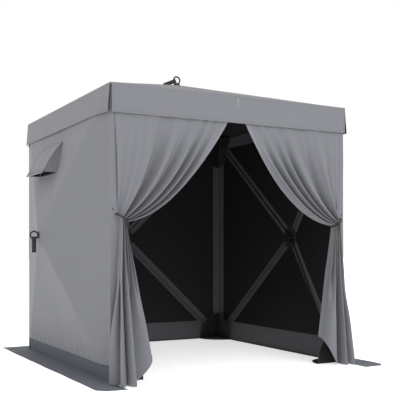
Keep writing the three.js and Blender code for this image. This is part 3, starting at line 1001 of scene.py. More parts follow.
    def disc(
        self, name: str, inner: float, outer: float, offset: float, thickness: float, finish: Finish,
        puckers: float = 0.0
    ) -> Piece:
        """Makes a round patch at the hub, with puckers that run out from its middle.

        Args:
            name: the patch's name.
            inner: the radius of its hole.
            outer: its own radius.
            offset: how far out of the face its middle lies.
            thickness: its thickness.
            finish: its finish.
            puckers: the height of the puckers at its hole.

        Returns:
            The patch.
        """
        radius = np.linspace(inner, outer, 9)[:, None]
        angle = np.linspace(0, TURN, 97)[None, :]
        u, v = radius * np.cos(angle), self.middle + radius * np.sin(angle)
        fade = np.clip((outer - radius) / (outer - inner), 0, 1) ** 1.5
        pucker = puckers * fade * (0.5 + 0.5 * np.sin(19 * angle + 1.3 * np.sin(3 * angle)))
        uv = stacked(u, v)
        grid = self.point(u, v, offset + pucker)
        return closed_sheet(name, grid, uv, thickness, self.out, [finish], wrap=True)


WALLS = {
    name: DishedFace(name, out, (0, 0, 1), ROOM.half, ROOM.half, 0.0, ROOM.eave, ROOM.bulge, seed) for name,
    out, seed in (("left", (-1, 0, 0), 3), ("right", (1, 0, 0), 5), ("back", (0, 1, 0), 8))
}
ROOF = DishedFace(
    "roof", (0, 0, 1), (0, 1, 0), ROOM.eave, ROOM.roof_half, -ROOM.roof_half, ROOM.roof_half,
    ROOM.roof_apex - ROOM.eave, seed=13
)


# ---- Roof and valances ----


@dataclass(frozen=True)
class Roof:
    """The roof cover with its ridge seams, hub patch and bound edge."""

    face: DishedFace = ROOF
    cloth: float = 1.0 * MM
    seam: float = 20 * MM
    seam_cloth: float = 0.9 * MM
    patch: float = 82 * MM
    binding: tuple[float, float] = (3.6 * MM, 13 * MM)

    def cover(self) -> Piece:
        """Makes the cover as one sheet with a grey face and a black coated back."""
        flat = self.face.flat
        u = ticks(-self.face.half, self.face.half, 19 * MM, [-flat, 0, flat])
        grid_u, grid_v = np.meshgrid(u, u)
        wrinkle = self.face.wrinkles(grid_u, grid_v) * 0.8
        grid = self.face.point(grid_u, grid_v, wrinkle)
        uv = stacked(grid_u, grid_v)
        return closed_sheet("roof_cover_cloth", grid, uv, self.cloth, (0, 0, 1), COATED)

    def seams(self) -> tuple[Piece, Piece]:
        """Makes the tapes over the four ridges and the hub patch, and the stitches on them."""
        strips, lines = [], []
        lift = 1.9 * MM + self.cloth / 2 + self.seam_cloth / 2
        for side in (-1, 1):
            for end in (-1, 1):
                ends = self.face.ridge(side, end, margin=6 * MM)
                strips.append(
                    self.face.strip("ridge", ends, self.seam, lift, self.seam_cloth, Finish.OXFORD)
                )
                for aside in (-0.36, 0.36):
                    lines.append(self.face.line(ends, aside * self.seam, lift + self.seam_cloth / 2))
        hole = 22 * MM
        top = lift + self.seam_cloth
        strips.append(
            self.face.disc("patch", hole, self.patch, top, self.seam_cloth, Finish.PATCH, puckers=1.6 * MM)
        )
        lines.append(self.ring(self.patch - 6 * MM, top + self.seam_cloth / 2))
        return joined("roof_ridge_seams", strips), STITCHES.lay("roof_seam_stitches", lines)

    def ring(self, radius: float, offset: float) -> Points:
        """Gives the points of a round line of stitches at the hub."""
        angle = np.linspace(0, TURN, 73)
        return self.face.point(radius * np.cos(angle), self.face.middle + radius * np.sin(angle), offset)

    def edge(self) -> Piece:
        """Makes the tape that binds the cover's edge and the heads of the valances."""
        half, corner = self.face.half, 9 * MM
        path = []
        for turn, (x, y) in enumerate(((1, 1), (-1, 1), (-1, -1), (1, -1))):
            for step in range(5):
                angle = (turn + step / 4) * math.pi / 2
                path.append(
                    (x * (half - corner) + corner * math.cos(angle),
                    y * (half - corner) + corner * math.sin(angle), self.face.foot - 1.5 * MM)
                )
        path = resampled(np.array([*path, path[0]]), 22 * MM)[:-1]
        section = flat_section(*self.binding)
        return swept("eave_binding", path, section, (0, 0, 1), Finish.BINDING, closed=True)

    def build(self) -> None:
        """Makes the roof's pieces, puts the bound edge on the shelter, and hides the imported cover."""
        cover, (seams, stitches), edge = self.cover(), self.seams(), self.edge()
        settle([cover, seams, stitches], self.face)
        settle([edge], "shelter")
        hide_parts("roof_cover")


@dataclass(frozen=True)
class Valance:
    """A strip of cloth that hangs from the eave, with a hem round its three free edges."""

    name: str
    out: Triple
    flare: float
    drop: float = 180 * MM
    cloth: float = 1.0 * MM
    hem: float = 15 * MM
    end_gap: float = 10 * MM

    def point(self, u: Points, down: Points, offset: Points | float = 0.0) -> Points:
        """Gives points of the valance.

        Args:
            u: their places along the eave.
            down: how far they are below the eave.
            offset: how far out of the cloth they lie.

        Returns:
            The points, with a last axis of 3.
        """
        u, down = matched(u, down)
        half = ROOF.half - self.end_gap
        share = down / self.drop
        push = self.flare * np.minimum(1, 0.4 + (half - np.abs(u)) / 0.24)
        phase = 1.7 * len(self.name)
        ripple = 2.2 * MM * np.sin(u * TURN / 0.47 + phase) + 1.2 * MM * np.sin(u * TURN / 0.21 + 2 * phase)
        n = ROOF.half - 0.4 * MM + push * share + np.maximum(ripple, -1 * MM) * share**1.5 + offset
        across = np.cross((0, 0, 1), self.out)
        down_from = ROOM.eave - 1.5 * MM - down
        return n[..., None] * np.array(self.out) + u[
            ..., None
        ] * across + down_from[..., None] * np.array([0, 0, 1])

    def build(self) -> None:
        half = ROOF.half - self.end_gap
        u = edge_ticks(-half, half, 20 * MM, self.hem)
        down = ticks(0, self.drop, 15 * MM, [self.drop - self.hem - 1 * MM, self.drop - self.hem + 1 * MM])
        grid_u, grid_down = np.meshgrid(u, down)
        edge = np.minimum(half - np.abs(grid_u), self.drop - grid_down)
        raised = 0.9 * MM * (1 - smooth_step(edge, self.hem - 1.2 * MM, self.hem + 0.6 * MM))
        uv = stacked(grid_u, grid_down)
        cloth = closed_sheet(
            f"{self.name}_valance_cloth", self.point(grid_u, grid_down), uv, self.cloth, self.out, COATED,
            raised
        )
        face = self.cloth / 2 + 0.9 * MM
        inset = self.hem - 2.5 * MM
        long_u = np.arange(-half + inset, half - inset, 15 * MM)
        side_down = np.arange(4 * MM, self.drop - inset, 12 * MM)
        lines = [self.point(long_u, self.drop - inset, face)]
        lines += [self.point(sign * (half - inset), side_down, face) for sign in (-1, 1)]
        pieces = [cloth]
        if not self.flare:
            pieces.append(self.tab(lines))
        stitches = STITCHES.lay(f"{self.name}_valance_stitches", lines)
        pieces.append(stitches)
        settle(pieces, "shelter")
        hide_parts(f"{self.name}_valance")

    def tab(self, lines: list[Points]) -> Piece:
        """Makes the small tab over the head of the doorway's zip, and adds its stitches."""
        width, length = 26 * MM, 74 * MM
        u, down = np.meshgrid(np.linspace(-width / 2, width / 2, 5), np.linspace(4 * MM, length, 9))
        lift = self.cloth / 2 + 0.6 * MM
        uv = stacked(u, down)
        piece = closed_sheet(
            f"{self.name}_valance_tab", self.point(u, down, lift), uv, 1.0 * MM, self.out, [Finish.PATCH]
        )
        inset = 3 * MM
        edge_down = np.linspace(6 * MM, length - inset, 8)
        for sign in (-1, 1):
            lines.append(self.point(sign * (width / 2 - inset), edge_down, lift + 0.5 * MM))
        return piece


# ---- Walls ----


@dataclass(frozen=True)
class Wall:
    """A wall: an insect screen with sewn bands on its inside, and a wind panel over it."""

    face: DishedFace
    screen_cloth: float = 1.0 * MM
    cloth: float = 1.0 * MM
    band_cloth: float = 0.9 * MM
    standoff: float = 8 * MM
    rod_band: float = 78 * MM
    corner_band: float = 60 * MM
    base_band: float = 165 * MM
    top_band: float = 94 * MM
    hem: float = 25 * MM
    hem_rise: float = 1.0 * MM
    patch: float = 68 * MM
    window: tuple[float, float, float, float] | None = None  # u and v limits of the vent's opening

    @property
    def name(self) -> str:
        """Gives the wall's name."""
        return self.face.name

    @property
    def panel_half(self) -> float:
        """Gives half the wind panel's width, which reaches further on the back wall."""
        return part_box("back_wind_panel")[1].x if self.name == "back" else ROOM.half

    def screen(self) -> Piece:
        """Makes the insect screen."""
        half = self.face.half if self.name != "back" else self.face.half - 1.5 * MM
        u = ticks(-half, half, 24 * MM, [-self.face.flat, 0, self.face.flat])
        v = ticks(3 * MM, self.face.high, 24 * MM, [self.face.middle])
        grid_u, grid_v = np.meshgrid(u, v)
        uv = stacked(grid_u, grid_v)
        grid = self.face.point(grid_u, grid_v)
        return closed_sheet(
            f"{self.name}_screen", grid, uv, self.screen_cloth, self.face.out, [Finish.SCREEN]
        )

    def bands(self) -> tuple[Piece, Piece]:
        """Makes the charcoal bands that are sewn to the inside of the screen, and their stitches."""
        face, half = self.face, self.face.half - 2 * MM
        under = self.screen_cloth / 2 + self.band_cloth / 2
        levels = [-(under + level * (self.band_cloth + 0.2 * MM)) for level in range(3)]
        runs = []
        for side in (-1, 1):
            for end in (-1, 1):
                runs.append((face.ridge(side, end, 20 * MM), self.rod_band, levels[1]))
            middle = side * (half - self.corner_band / 2)
            runs.append((np.array([[middle, 4 * MM], [middle, face.high]]), self.corner_band, levels[0]))
        for low, high in ((4 * MM, self.base_band), (face.high - self.top_band, face.high)):
            centre = (low + high) / 2
            runs.append((np.array([[-half, centre], [half, centre]]), high - low, levels[2]))
        strips, lines = [], []
        for ends, width, level in runs:
            strips.append(face.strip("band", ends, width, level, self.band_cloth, Finish.BAND))
            inside = level - self.band_cloth / 2
            lines += [face.line(ends, sign * (width / 2 - 4 * MM), inside) for sign in (-1, 1)]
        inner = levels[2] - self.band_cloth
        strips.append(face.disc("patch", 18 * MM, 92 * MM, inner, self.band_cloth, Finish.POCKET))
        return joined(
            f"{self.name}_screen_bands", strips
        ), DARK_STITCHES.lay(f"{self.name}_band_stitches", lines)

    def panel(self) -> Piece:
        """Makes the wind panel with its hems, wrinkles and, where it has one, the vent's opening."""
        face, half, bottom = self.face, self.panel_half, ROOM.panel_bottom
        extra_u, extra_v = [-face.flat, 0, face.flat], [face.middle]
        if self.window:
            extra_u += list(self.window[:2])
            extra_v += list(self.window[2:])
        u = edge_ticks(-half, half, 17 * MM, self.hem, extra_u)
        v = edge_ticks(bottom, face.high, 17 * MM, self.hem, extra_v)
        grid_u, grid_v = np.meshgrid(u, v)
        edge = np.minimum(half - np.abs(grid_u), grid_v - bottom)
        raised = self.hem_rise * (1 - smooth_step(edge, self.hem - 1.4 * MM, self.hem + 0.8 * MM))
        offset = self.standoff + self.creases(grid_u, grid_v)
        gone = None
        if self.window:
            low_u, high_u, low_v, high_v = self.window
            mid_u, mid_v = (u[1:] + u[:-1]) / 2, (v[1:] + v[:-1]) / 2
            gone = np.outer((mid_v > low_v) & (mid_v < high_v), (mid_u > low_u) & (mid_u < high_u))
        uv = stacked(grid_u, grid_v)
        return closed_sheet(
            f"{self.name}_wind_panel_cloth", face.point(grid_u, grid_v, offset), uv, self.cloth, face.out,
            COATED, raised, gone
        )

    def creases(self, u: Points, v: Points) -> Points:
        """Finds the wrinkles of the wind panel, which grow towards its foot and its corners."""
        face = self.face
        foot = np.exp(-(v - ROOM.panel_bottom) / 0.10)
        ripples = 0.5 + 0.5 * np.sin(u * TURN / 0.135 + 2.1 * np.sin(u * 5.3 + face.seed))
        total = face.wrinkles(u, v) * 0.8 + 3.2 * MM * foot * ripples
        for side in (-1, 1):
            for height in (ROOM.panel_bottom, face.high):
                run = np.hypot(u - side * face.half, v - height)
                angle = np.arctan2(np.abs(v - height), np.abs(u - side * face.half) + 1e-6)
                fade = smooth_step(run, 0.03, 0.12) * np.exp(-run / 0.22)
                total += 1.6 * MM * fade * (0.5 + 0.5 * np.sin(angle * 21 + face.seed))
        return total

    def sewing(self) -> tuple[Piece, Piece]:
        """Makes the puckered hub patch and all the stitches on the wind panel."""
        face, half, bottom = self.face, self.panel_half, ROOM.panel_bottom
        top = self.standoff + 3.4 * MM
        patch = face.disc(
            f"{self.name}_hub_patch", 22 * MM, self.patch, top, self.cloth, Finish.PATCH, puckers=1.4 * MM
        )
        lines = []
        inset = self.hem - 3 * MM
        lift = self.standoff + self.cloth / 2 + self.hem_rise
        v = np.arange(bottom + inset, face.high - 4 * MM, 15 * MM)
        u = np.arange(-half + inset, half - inset, 15 * MM)
        for side in (-1, 1):
            at = np.full_like(v, side * (half - inset))
            lines.append(face.point(at, v, lift + self.creases(at, v)))
        at = np.full_like(u, bottom + inset)
        lines.append(face.point(u, at, lift + self.creases(u, at)))
        angle = np.linspace(0, TURN, 61)
        round_u = (self.patch - 5 * MM) * np.cos(angle)
        round_v = face.middle + (self.patch - 5 * MM) * np.sin(angle)
        lines.append(face.point(round_u, round_v, top + self.cloth / 2))
        return patch, STITCHES.lay(f"{self.name}_panel_stitches", lines)

    def skirt_band(self) -> Piece:
        """Makes the upright band of the ground skirt, between the screen and the wind panel."""
        face, half = self.face, self.panel_half - 3 * MM
        grid_u, grid_v = np.meshgrid(ticks(-half, half, 25 * MM), ticks(1 * MM, ROOM.band_top, 16 * MM))
        uv = stacked(grid_u, grid_v)
        grid = face.point(grid_u, grid_v, self.standoff / 2)
        return closed_sheet(
            f"{self.name}_skirt_band", grid, uv, self.cloth, face.out, [Finish.SKIRT, Finish.COATING]
        )

    def build(self) -> None:
        """Makes the wall's pieces and hides the imported screen and wind panel."""
        screen, (bands, band_stitches) = self.screen(), self.bands()
        panel, (patch, stitches), skirt = self.panel(), self.sewing(), self.skirt_band()
        settle([screen, bands, band_stitches], self.face)
        settle([panel, patch, stitches], self.face)
        settle([skirt], self.face)
        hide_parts(f"{self.name}_mesh_wall")
        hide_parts(f"{self.name}_wind_panel")
        hub = f"{self.name}_hub"
        2 * self.panel_half


# ---- Ground skirt ----


@dataclass(frozen=True)
class GroundSkirt:
    """The strip of cloth that lies on the ground round three sides, mitred at the back corners."""

    cloth: float = 1.0 * MM
    hem: float = 16 * MM
    cut: float = 50 * MM  # the front ends' outer corners are cut off
    lift: float = 4 * MM  # how far its outer edge stands off the ground in places

    def stations(self) -> tuple[Points, Points]:
        """Gives the points along the strip's inner and outer edges, from the left front round."""
        inner, outer, front = ROOM.half + 1.3 * MM, ROOM.skirt_outer, ROOM.skirt_front
        corners_in = np.array([(-inner, -front), (-inner, inner), (inner, inner), (inner, -front)])
        corners_out = np.array([(-outer, -front), (-outer, outer), (outer, outer), (outer, -front)])
        near = np.array([0, self.hem - 1.5 * MM, self.hem + 1 * MM, self.cut])
        side = ticks(0, 1, 0.012, near / (front + inner))
        back = np.linspace(0, 1, 80)
        inner_edge, outer_edge = [], []
        for number, shares in enumerate((side, back[1:], (1 - side[::-1])[1:])):
            for share in shares:
                inner_edge.append(corners_in[number] * (1 - share) + corners_in[number + 1] * share)
                outer_edge.append(corners_out[number] * (1 - share) + corners_out[number + 1] * share)
        return np.array(inner_edge), np.array(outer_edge)

    def build(self) -> None:
        """Makes the flat part of the skirt with its hem and stitches."""
        inner, outer = self.stations()
        width = ROOM.skirt_outer - ROOM.half
        from_front = np.minimum(np.abs(inner[:, 1] + ROOM.skirt_front), 1.0)
        reach = np.minimum(1, (width - self.cut + from_front) / width)
        share = ticks(0, 1, 0.1, [1 - (self.hem + 1 * MM) / width, 1 - (self.hem - 1.5 * MM) / width])
        aside = share[None, :] * reach[:, None]
        plan = inner[:, None, :] * (1 - aside[..., None]) + outer[:, None, :] * aside[..., None]
        x, y = plan[..., 0], plan[..., 1]
        swell = 0.5 + 0.5 * np.sin(x * 9.1 + 1.3 * np.sin(y * 5.7)) * np.sin(y * 8.3 + 1.1 * np.sin(x * 6.1))
        height = self.cloth * 0.6 + self.lift * swell * smooth_step(share, 0.2, 1.0)[None, :]
        grid = np.concatenate([plan, height[..., None]], axis=-1)
        edge = np.minimum((1 - share)[None, :] * width, from_front[:, None])
        raised = 0.9 * MM * (1 - smooth_step(edge, self.hem - 1.2 * MM, self.hem + 0.6 * MM))
        run = lengths_along((inner + outer) / 2)
        uv = stacked(share[None, :] * width, run[:, None])
        cloth = closed_sheet("ground_skirt_cloth", grid, uv, self.cloth, (0, 0, 1), [Finish.SKIRT], raised)
        at = int(np.argmin(np.abs(share - (1 - self.hem / width))))
        lines = [grid[:, at] + (0, 0, 1.5 * MM)]
        for corner in (int(np.argmin(outer @ (1, -1))), int(np.argmax(outer @ (1, 1)))):
            lines.append(grid[corner] + (0, 0, 1.2 * MM))
        stitches = STITCHES.lay("ground_skirt_stitches", lines)
        settle([cloth, stitches], "shelter")
        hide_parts("ground_skirt")


@dataclass(frozen=True)
class CornerSeam:
    """The doubled cloth that wraps an upright corner, where two sides of the room are sewn together."""

    side: str
    end: str
    cloth: float = 1.0 * MM
    standoff: float = 12 * MM
    lap: float = 16 * MM  # how far it laps onto a wind panel
    doorway: float = 62 * MM  # how far it laps onto the doorway
    stray: float = 3 * MM  # how far its doorway edge strays from straight

    def build(self) -> None:
        """Makes the strip and its stitches and declares how they move."""
        sx, sy = (-1 if self.side == "left" else 1), (-1 if self.end == "front" else 1)
        out = ROOM.half + self.standoff
        front = ROOM.half + 1.6 * MM if sy < 0 else out
        across = self.doorway if sy < 0 else self.lap
        z = np.linspace(4 * MM, ROOM.eave - 3 * MM, 90)
        angle = np.linspace(0, math.pi / 2, 5)
        bend = 4 * MM
        x = np.concatenate(
            [[out, out], out - bend + bend * np.cos(angle), out - across * np.array([0.5, 1])]
        )
        y = np.concatenate(
            [front - self.lap * np.array([1, 0.5]), front - bend + bend * np.sin(angle), [front, front]]
        )
        grid = stacked(sx * x[None, :], sy * y[None, :], z[:, None])
        if sy < 0:
            grid[:, -1, 0] -= sx * self.stray * np.sin(z * 21 + 1.4 * np.sin(z * 9))
        width = lengths_along(stacked(x, y))
        uv = stacked(width[None, :], z[:, None])
        name = f"{self.side}_{self.end}_corner_seam"
        strip = closed_sheet(name, grid, uv, self.cloth, (sx, sy, 0), COATED)
        lines = [
            grid[:, at] * 0.5 + grid[:, at + 1] * 0.5 + np.array([sx, sy, 0]) * 0.8 * MM for at in (0, -2)
        ]
        stitches = STITCHES.lay(f"{name}_stitches", lines)
        settle([strip, stitches], "shelter")


def floor_piping() -> None:
    """Makes the black piping along the foot of the three walls, inside the room."""
    inset, radius, bend = 12 * MM, 4 * MM, 20 * MM
    edge = ROOM.half - inset
    angle = np.linspace(0, math.pi / 2, 6)
    left = [(-edge, -edge)] + [
        (-edge + bend - bend * math.cos(a), edge - bend + bend * math.sin(a)) for a in angle
    ]
    path = left + [(-x, y) for x, y in reversed(left)]
    path = resampled(np.array([(x, y, radius + 0.5 * MM) for x, y in path]), 40 * MM)
    piping = swept("floor_piping", path, round_section(radius, 8), (0, 0, 1), Finish.DARK_BINDING)
    settle([piping], "shelter")


# ---- Corner pockets ----


@dataclass(frozen=True)
class CornerPocket:
    """A pocket for the rods' tips: quarter-round patches that dome out from the faces of a corner."""

    level: str
    end: str
    side: str
    cloth: float = 1.3 * MM
    dome: float = 52 * MM  # room for a rod's tip at the pocket's mouth
    clearance: float = 4.2 * MM
    piping: float = 2.4 * MM

    @property
    def node(self) -> str:
        """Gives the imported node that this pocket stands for."""
        return f"{self.level}_pocket_{self.end}_{self.side}"

    def patch(
        self, label: str, a: Vector, b: Vector, reach: tuple[float, float], face: DishedFace | None,
        into: Vector, dome: float
    ) -> Piece:
        """Makes one patch with its piped mouth.

        Args:
            label: what the patch lies on.
            a: the direction of its first straight edge.
            b: the direction of its second straight edge.
            reach: its size along a and b.
            face: the dished face that it is sewn to, or None.
            into: the direction into the room.
            dome: how far its mouth stands off the cloth behind it.

        Returns:
            The patch.
        """
        corner = self.corner()
        radius = np.linspace(0.02, 1, 12)[:, None]
        angle = np.linspace(0, math.pi / 2, 25)[None, :]
        reach_at = 1 / np.hypot(np.cos(angle) / reach[0], np.sin(angle) / reach[1])
        along_a, along_b = radius * reach_at * np.cos(angle), radius * reach_at * np.sin(angle)
        plane = np.array(corner) + along_a[..., None] * np.array(a) + along_b[..., None] * np.array(b)
        bulge = dome * np.sin(2 * angle) ** 0.8 * radius**0.7
        gather = 1.2 * MM * np.sin(angle * 34) * radius * np.sin(2 * angle)
        if face:
            u, v = plane @ face.across, plane @ np.array(face.up)
            grid = face.point(u, v, -(self.clearance + bulge + gather))
        else:
            grid = plane + (bulge + gather)[..., None] * np.array(into)
        uv = stacked(along_a, along_b)
        name = f"{self.node}_{label}"
        cloth = closed_sheet(name, grid, uv, self.cloth, into, [Finish.POCKET])
        pipe = swept(name + "_piping", grid[-1], round_section(self.piping, 8), into, Finish.DARK_BINDING)
        return joined(name, [cloth, pipe])

    def corner(self) -> Vector:
        """Gives the corner that the pocket fills."""
        x = math.copysign(ROOM.half - self.clearance, -1 if self.side == "left" else 1)
        y = math.copysign(ROOM.half - self.clearance, -1 if self.end == "front" else 1)
        return Vector((x, y, 2.2 * MM if self.level == "bottom" else ROOM.eave - 5 * MM))

    def build(self) -> None:
        """Makes the pocket's three patches, puts those that lie off the dished faces on the shelter, and
        hides the imported pocket.
        """
        low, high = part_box(self.node)
        wide, tall = high.x - low.x, high.z - low.z
        sx, sy = (-1 if self.side == "left" else 1), (-1 if self.end == "front" else 1)
        sz = 1 if self.level == "bottom" else -1
        x, y, z = Vector((-sx, 0, 0)), Vector((0, -sy, 0)), Vector((0, 0, sz))
        wall, back = WALLS[self.side], WALLS["back"] if sy > 0 else None
        deck = ROOF if sz < 0 else None
        parts = [
            (self.patch("side", y, z, (wide, tall), wall, x, self.dome), wall),
            (self.patch("end", x, z, (wide, tall), back, y, self.dome if back else 3 * MM), back),
            (self.patch("deck", x, y, (wide, wide), deck, z, self.dome if deck else 0.6 * MM), deck)
        ]
        for piece, face in parts:
            settle([piece], face or "shelter")
        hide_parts(self.node)


# ---- Curtains and their ties ----


@dataclass(frozen=True)
class Tie:
    """Where a curtain is gathered, beside its corner, and the cord that holds it there."""

    x: float = 852 * MM
    y: float = 925 * MM
    z: float = 1035 * MM
    width: float = 70 * MM  # of the gathered cloth
    tilt: float = math.radians(35)  # the gather is higher beside the corner
    loop: tuple[float, float] = (50 * MM, 42 * MM)
    cord: float = 2.7 * MM
    turns: int = 2

    def path(self, side: int) -> Points:
        """Gives the route of the cord round the gathered cloth, in close turns."""
        angle = np.linspace(-0.15 * TURN, (self.turns + 0.1) * TURN, 90 * self.turns)
        rise = (angle / TURN - self.turns / 2) * 2.3 * self.cord
        x, y = self.loop[0] * np.cos(angle), -self.loop[1] * np.sin(angle)
        world_x = self.x + x * math.cos(self.tilt) - rise * math.sin(self.tilt)
        world_z = self.z + x * math.sin(self.tilt) + rise * math.cos(self.tilt)
        return stacked(side * world_x, -self.y + y, world_z)

    def knot(self, side: int) -> Points:
        """Gives the route of the small overhand knot on the outside of the turns."""
        angle = np.linspace(0, TURN, 61)
        size = 3.4 * MM
        x = (np.sin(angle) + 2 * np.sin(2 * angle)) * size
        z = (np.cos(angle) - 2 * np.cos(2 * angle)) * size
        y = -np.sin(3 * angle) * size * 1.1
        middle = (side * (self.x - 14 * MM), -self.y - self.loop[1] - 7 * MM, self.z - 10 * MM)
        return stacked(x, y, z) + middle

    def tail(self, side: int, lean: float, length: float) -> Points:
        """Gives the route of one short free end that hangs from the knot."""
        share = np.linspace(0, 1, 16)
        start = (side * (self.x - 14 * MM), -self.y - self.loop[1] - 8 * MM, self.z - 15 * MM)
        x = side * lean * np.sin(share * math.pi * 0.6)
        y = -3 * MM * np.sin(share * math.pi)
        return stacked(x, y, -share * length) + start

    def anchor(self, side: int) -> Points:
        """Gives the route of the cord from the corner of the shelter to the turns."""
        share = np.linspace(0, 1, 18)
        start, end = np.array([ROOM.half - 1 * MM, -ROOM.half - 3 * MM, self.z + 66 * MM]), self.path(1)[0]
        sag = np.sin(share * math.pi)[:, None] * np.array([4 * MM, -7 * MM, 3 * MM])
        route = start * (1 - share[:, None]) + end * share[:, None] + sag
        return route * (side, 1, 1)

    def build(self, name: str, side: int) -> None:
        """Makes the tie of one curtain and declares how it moves."""
        label = f"{name}_tieback_cord"
        routes = [
            self.path(side), self.anchor(side), self.tail(side, 7 * MM, 46 * MM),
            self.tail(side, -9 * MM, 39 * MM)
        ]
        pieces = [cord_tube(label, route, self.cord) for route in routes]
        pieces.append(cord_tube(label, self.knot(side)[:-1], self.cord, closed=True))
        cord = joined(label, pieces)
        settle([cord], "shelter")
        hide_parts(f"{name}_tieback")


def cord_tube(name: str, path: Points, radius: float, closed: bool = False) -> Piece:
    """Makes a round cord along a path, with frames carried along so that it never twists over."""
    along = unit(
        np.roll(path, -1, axis=0) - np.roll(path, 1, axis=0)
    ) if closed else unit(np.gradient(path, axis=0))
    up = np.cross(along[0], (0.31, 0.87, 0.38))
    ups = []
    for tangent in along:
        up = up - tangent * float(up @ tangent)
        up = up / np.linalg.norm(up)
        ups.append(up)
    if closed:
        last = ups[-1] - along[0] * float(ups[-1] @ along[0])
        error = math.atan2(float(np.cross(ups[0], last) @ along[0]), float(ups[0] @ last))
        for number, tangent in enumerate(along):
            angle = -error * number / len(along)
            ups[number] = ups[number] * math.cos(angle) + np.cross(tangent, ups[number]) * math.sin(angle)
    return swept(name, path, round_section(radius, 10), np.array(ups), Finish.BRAID, closed)


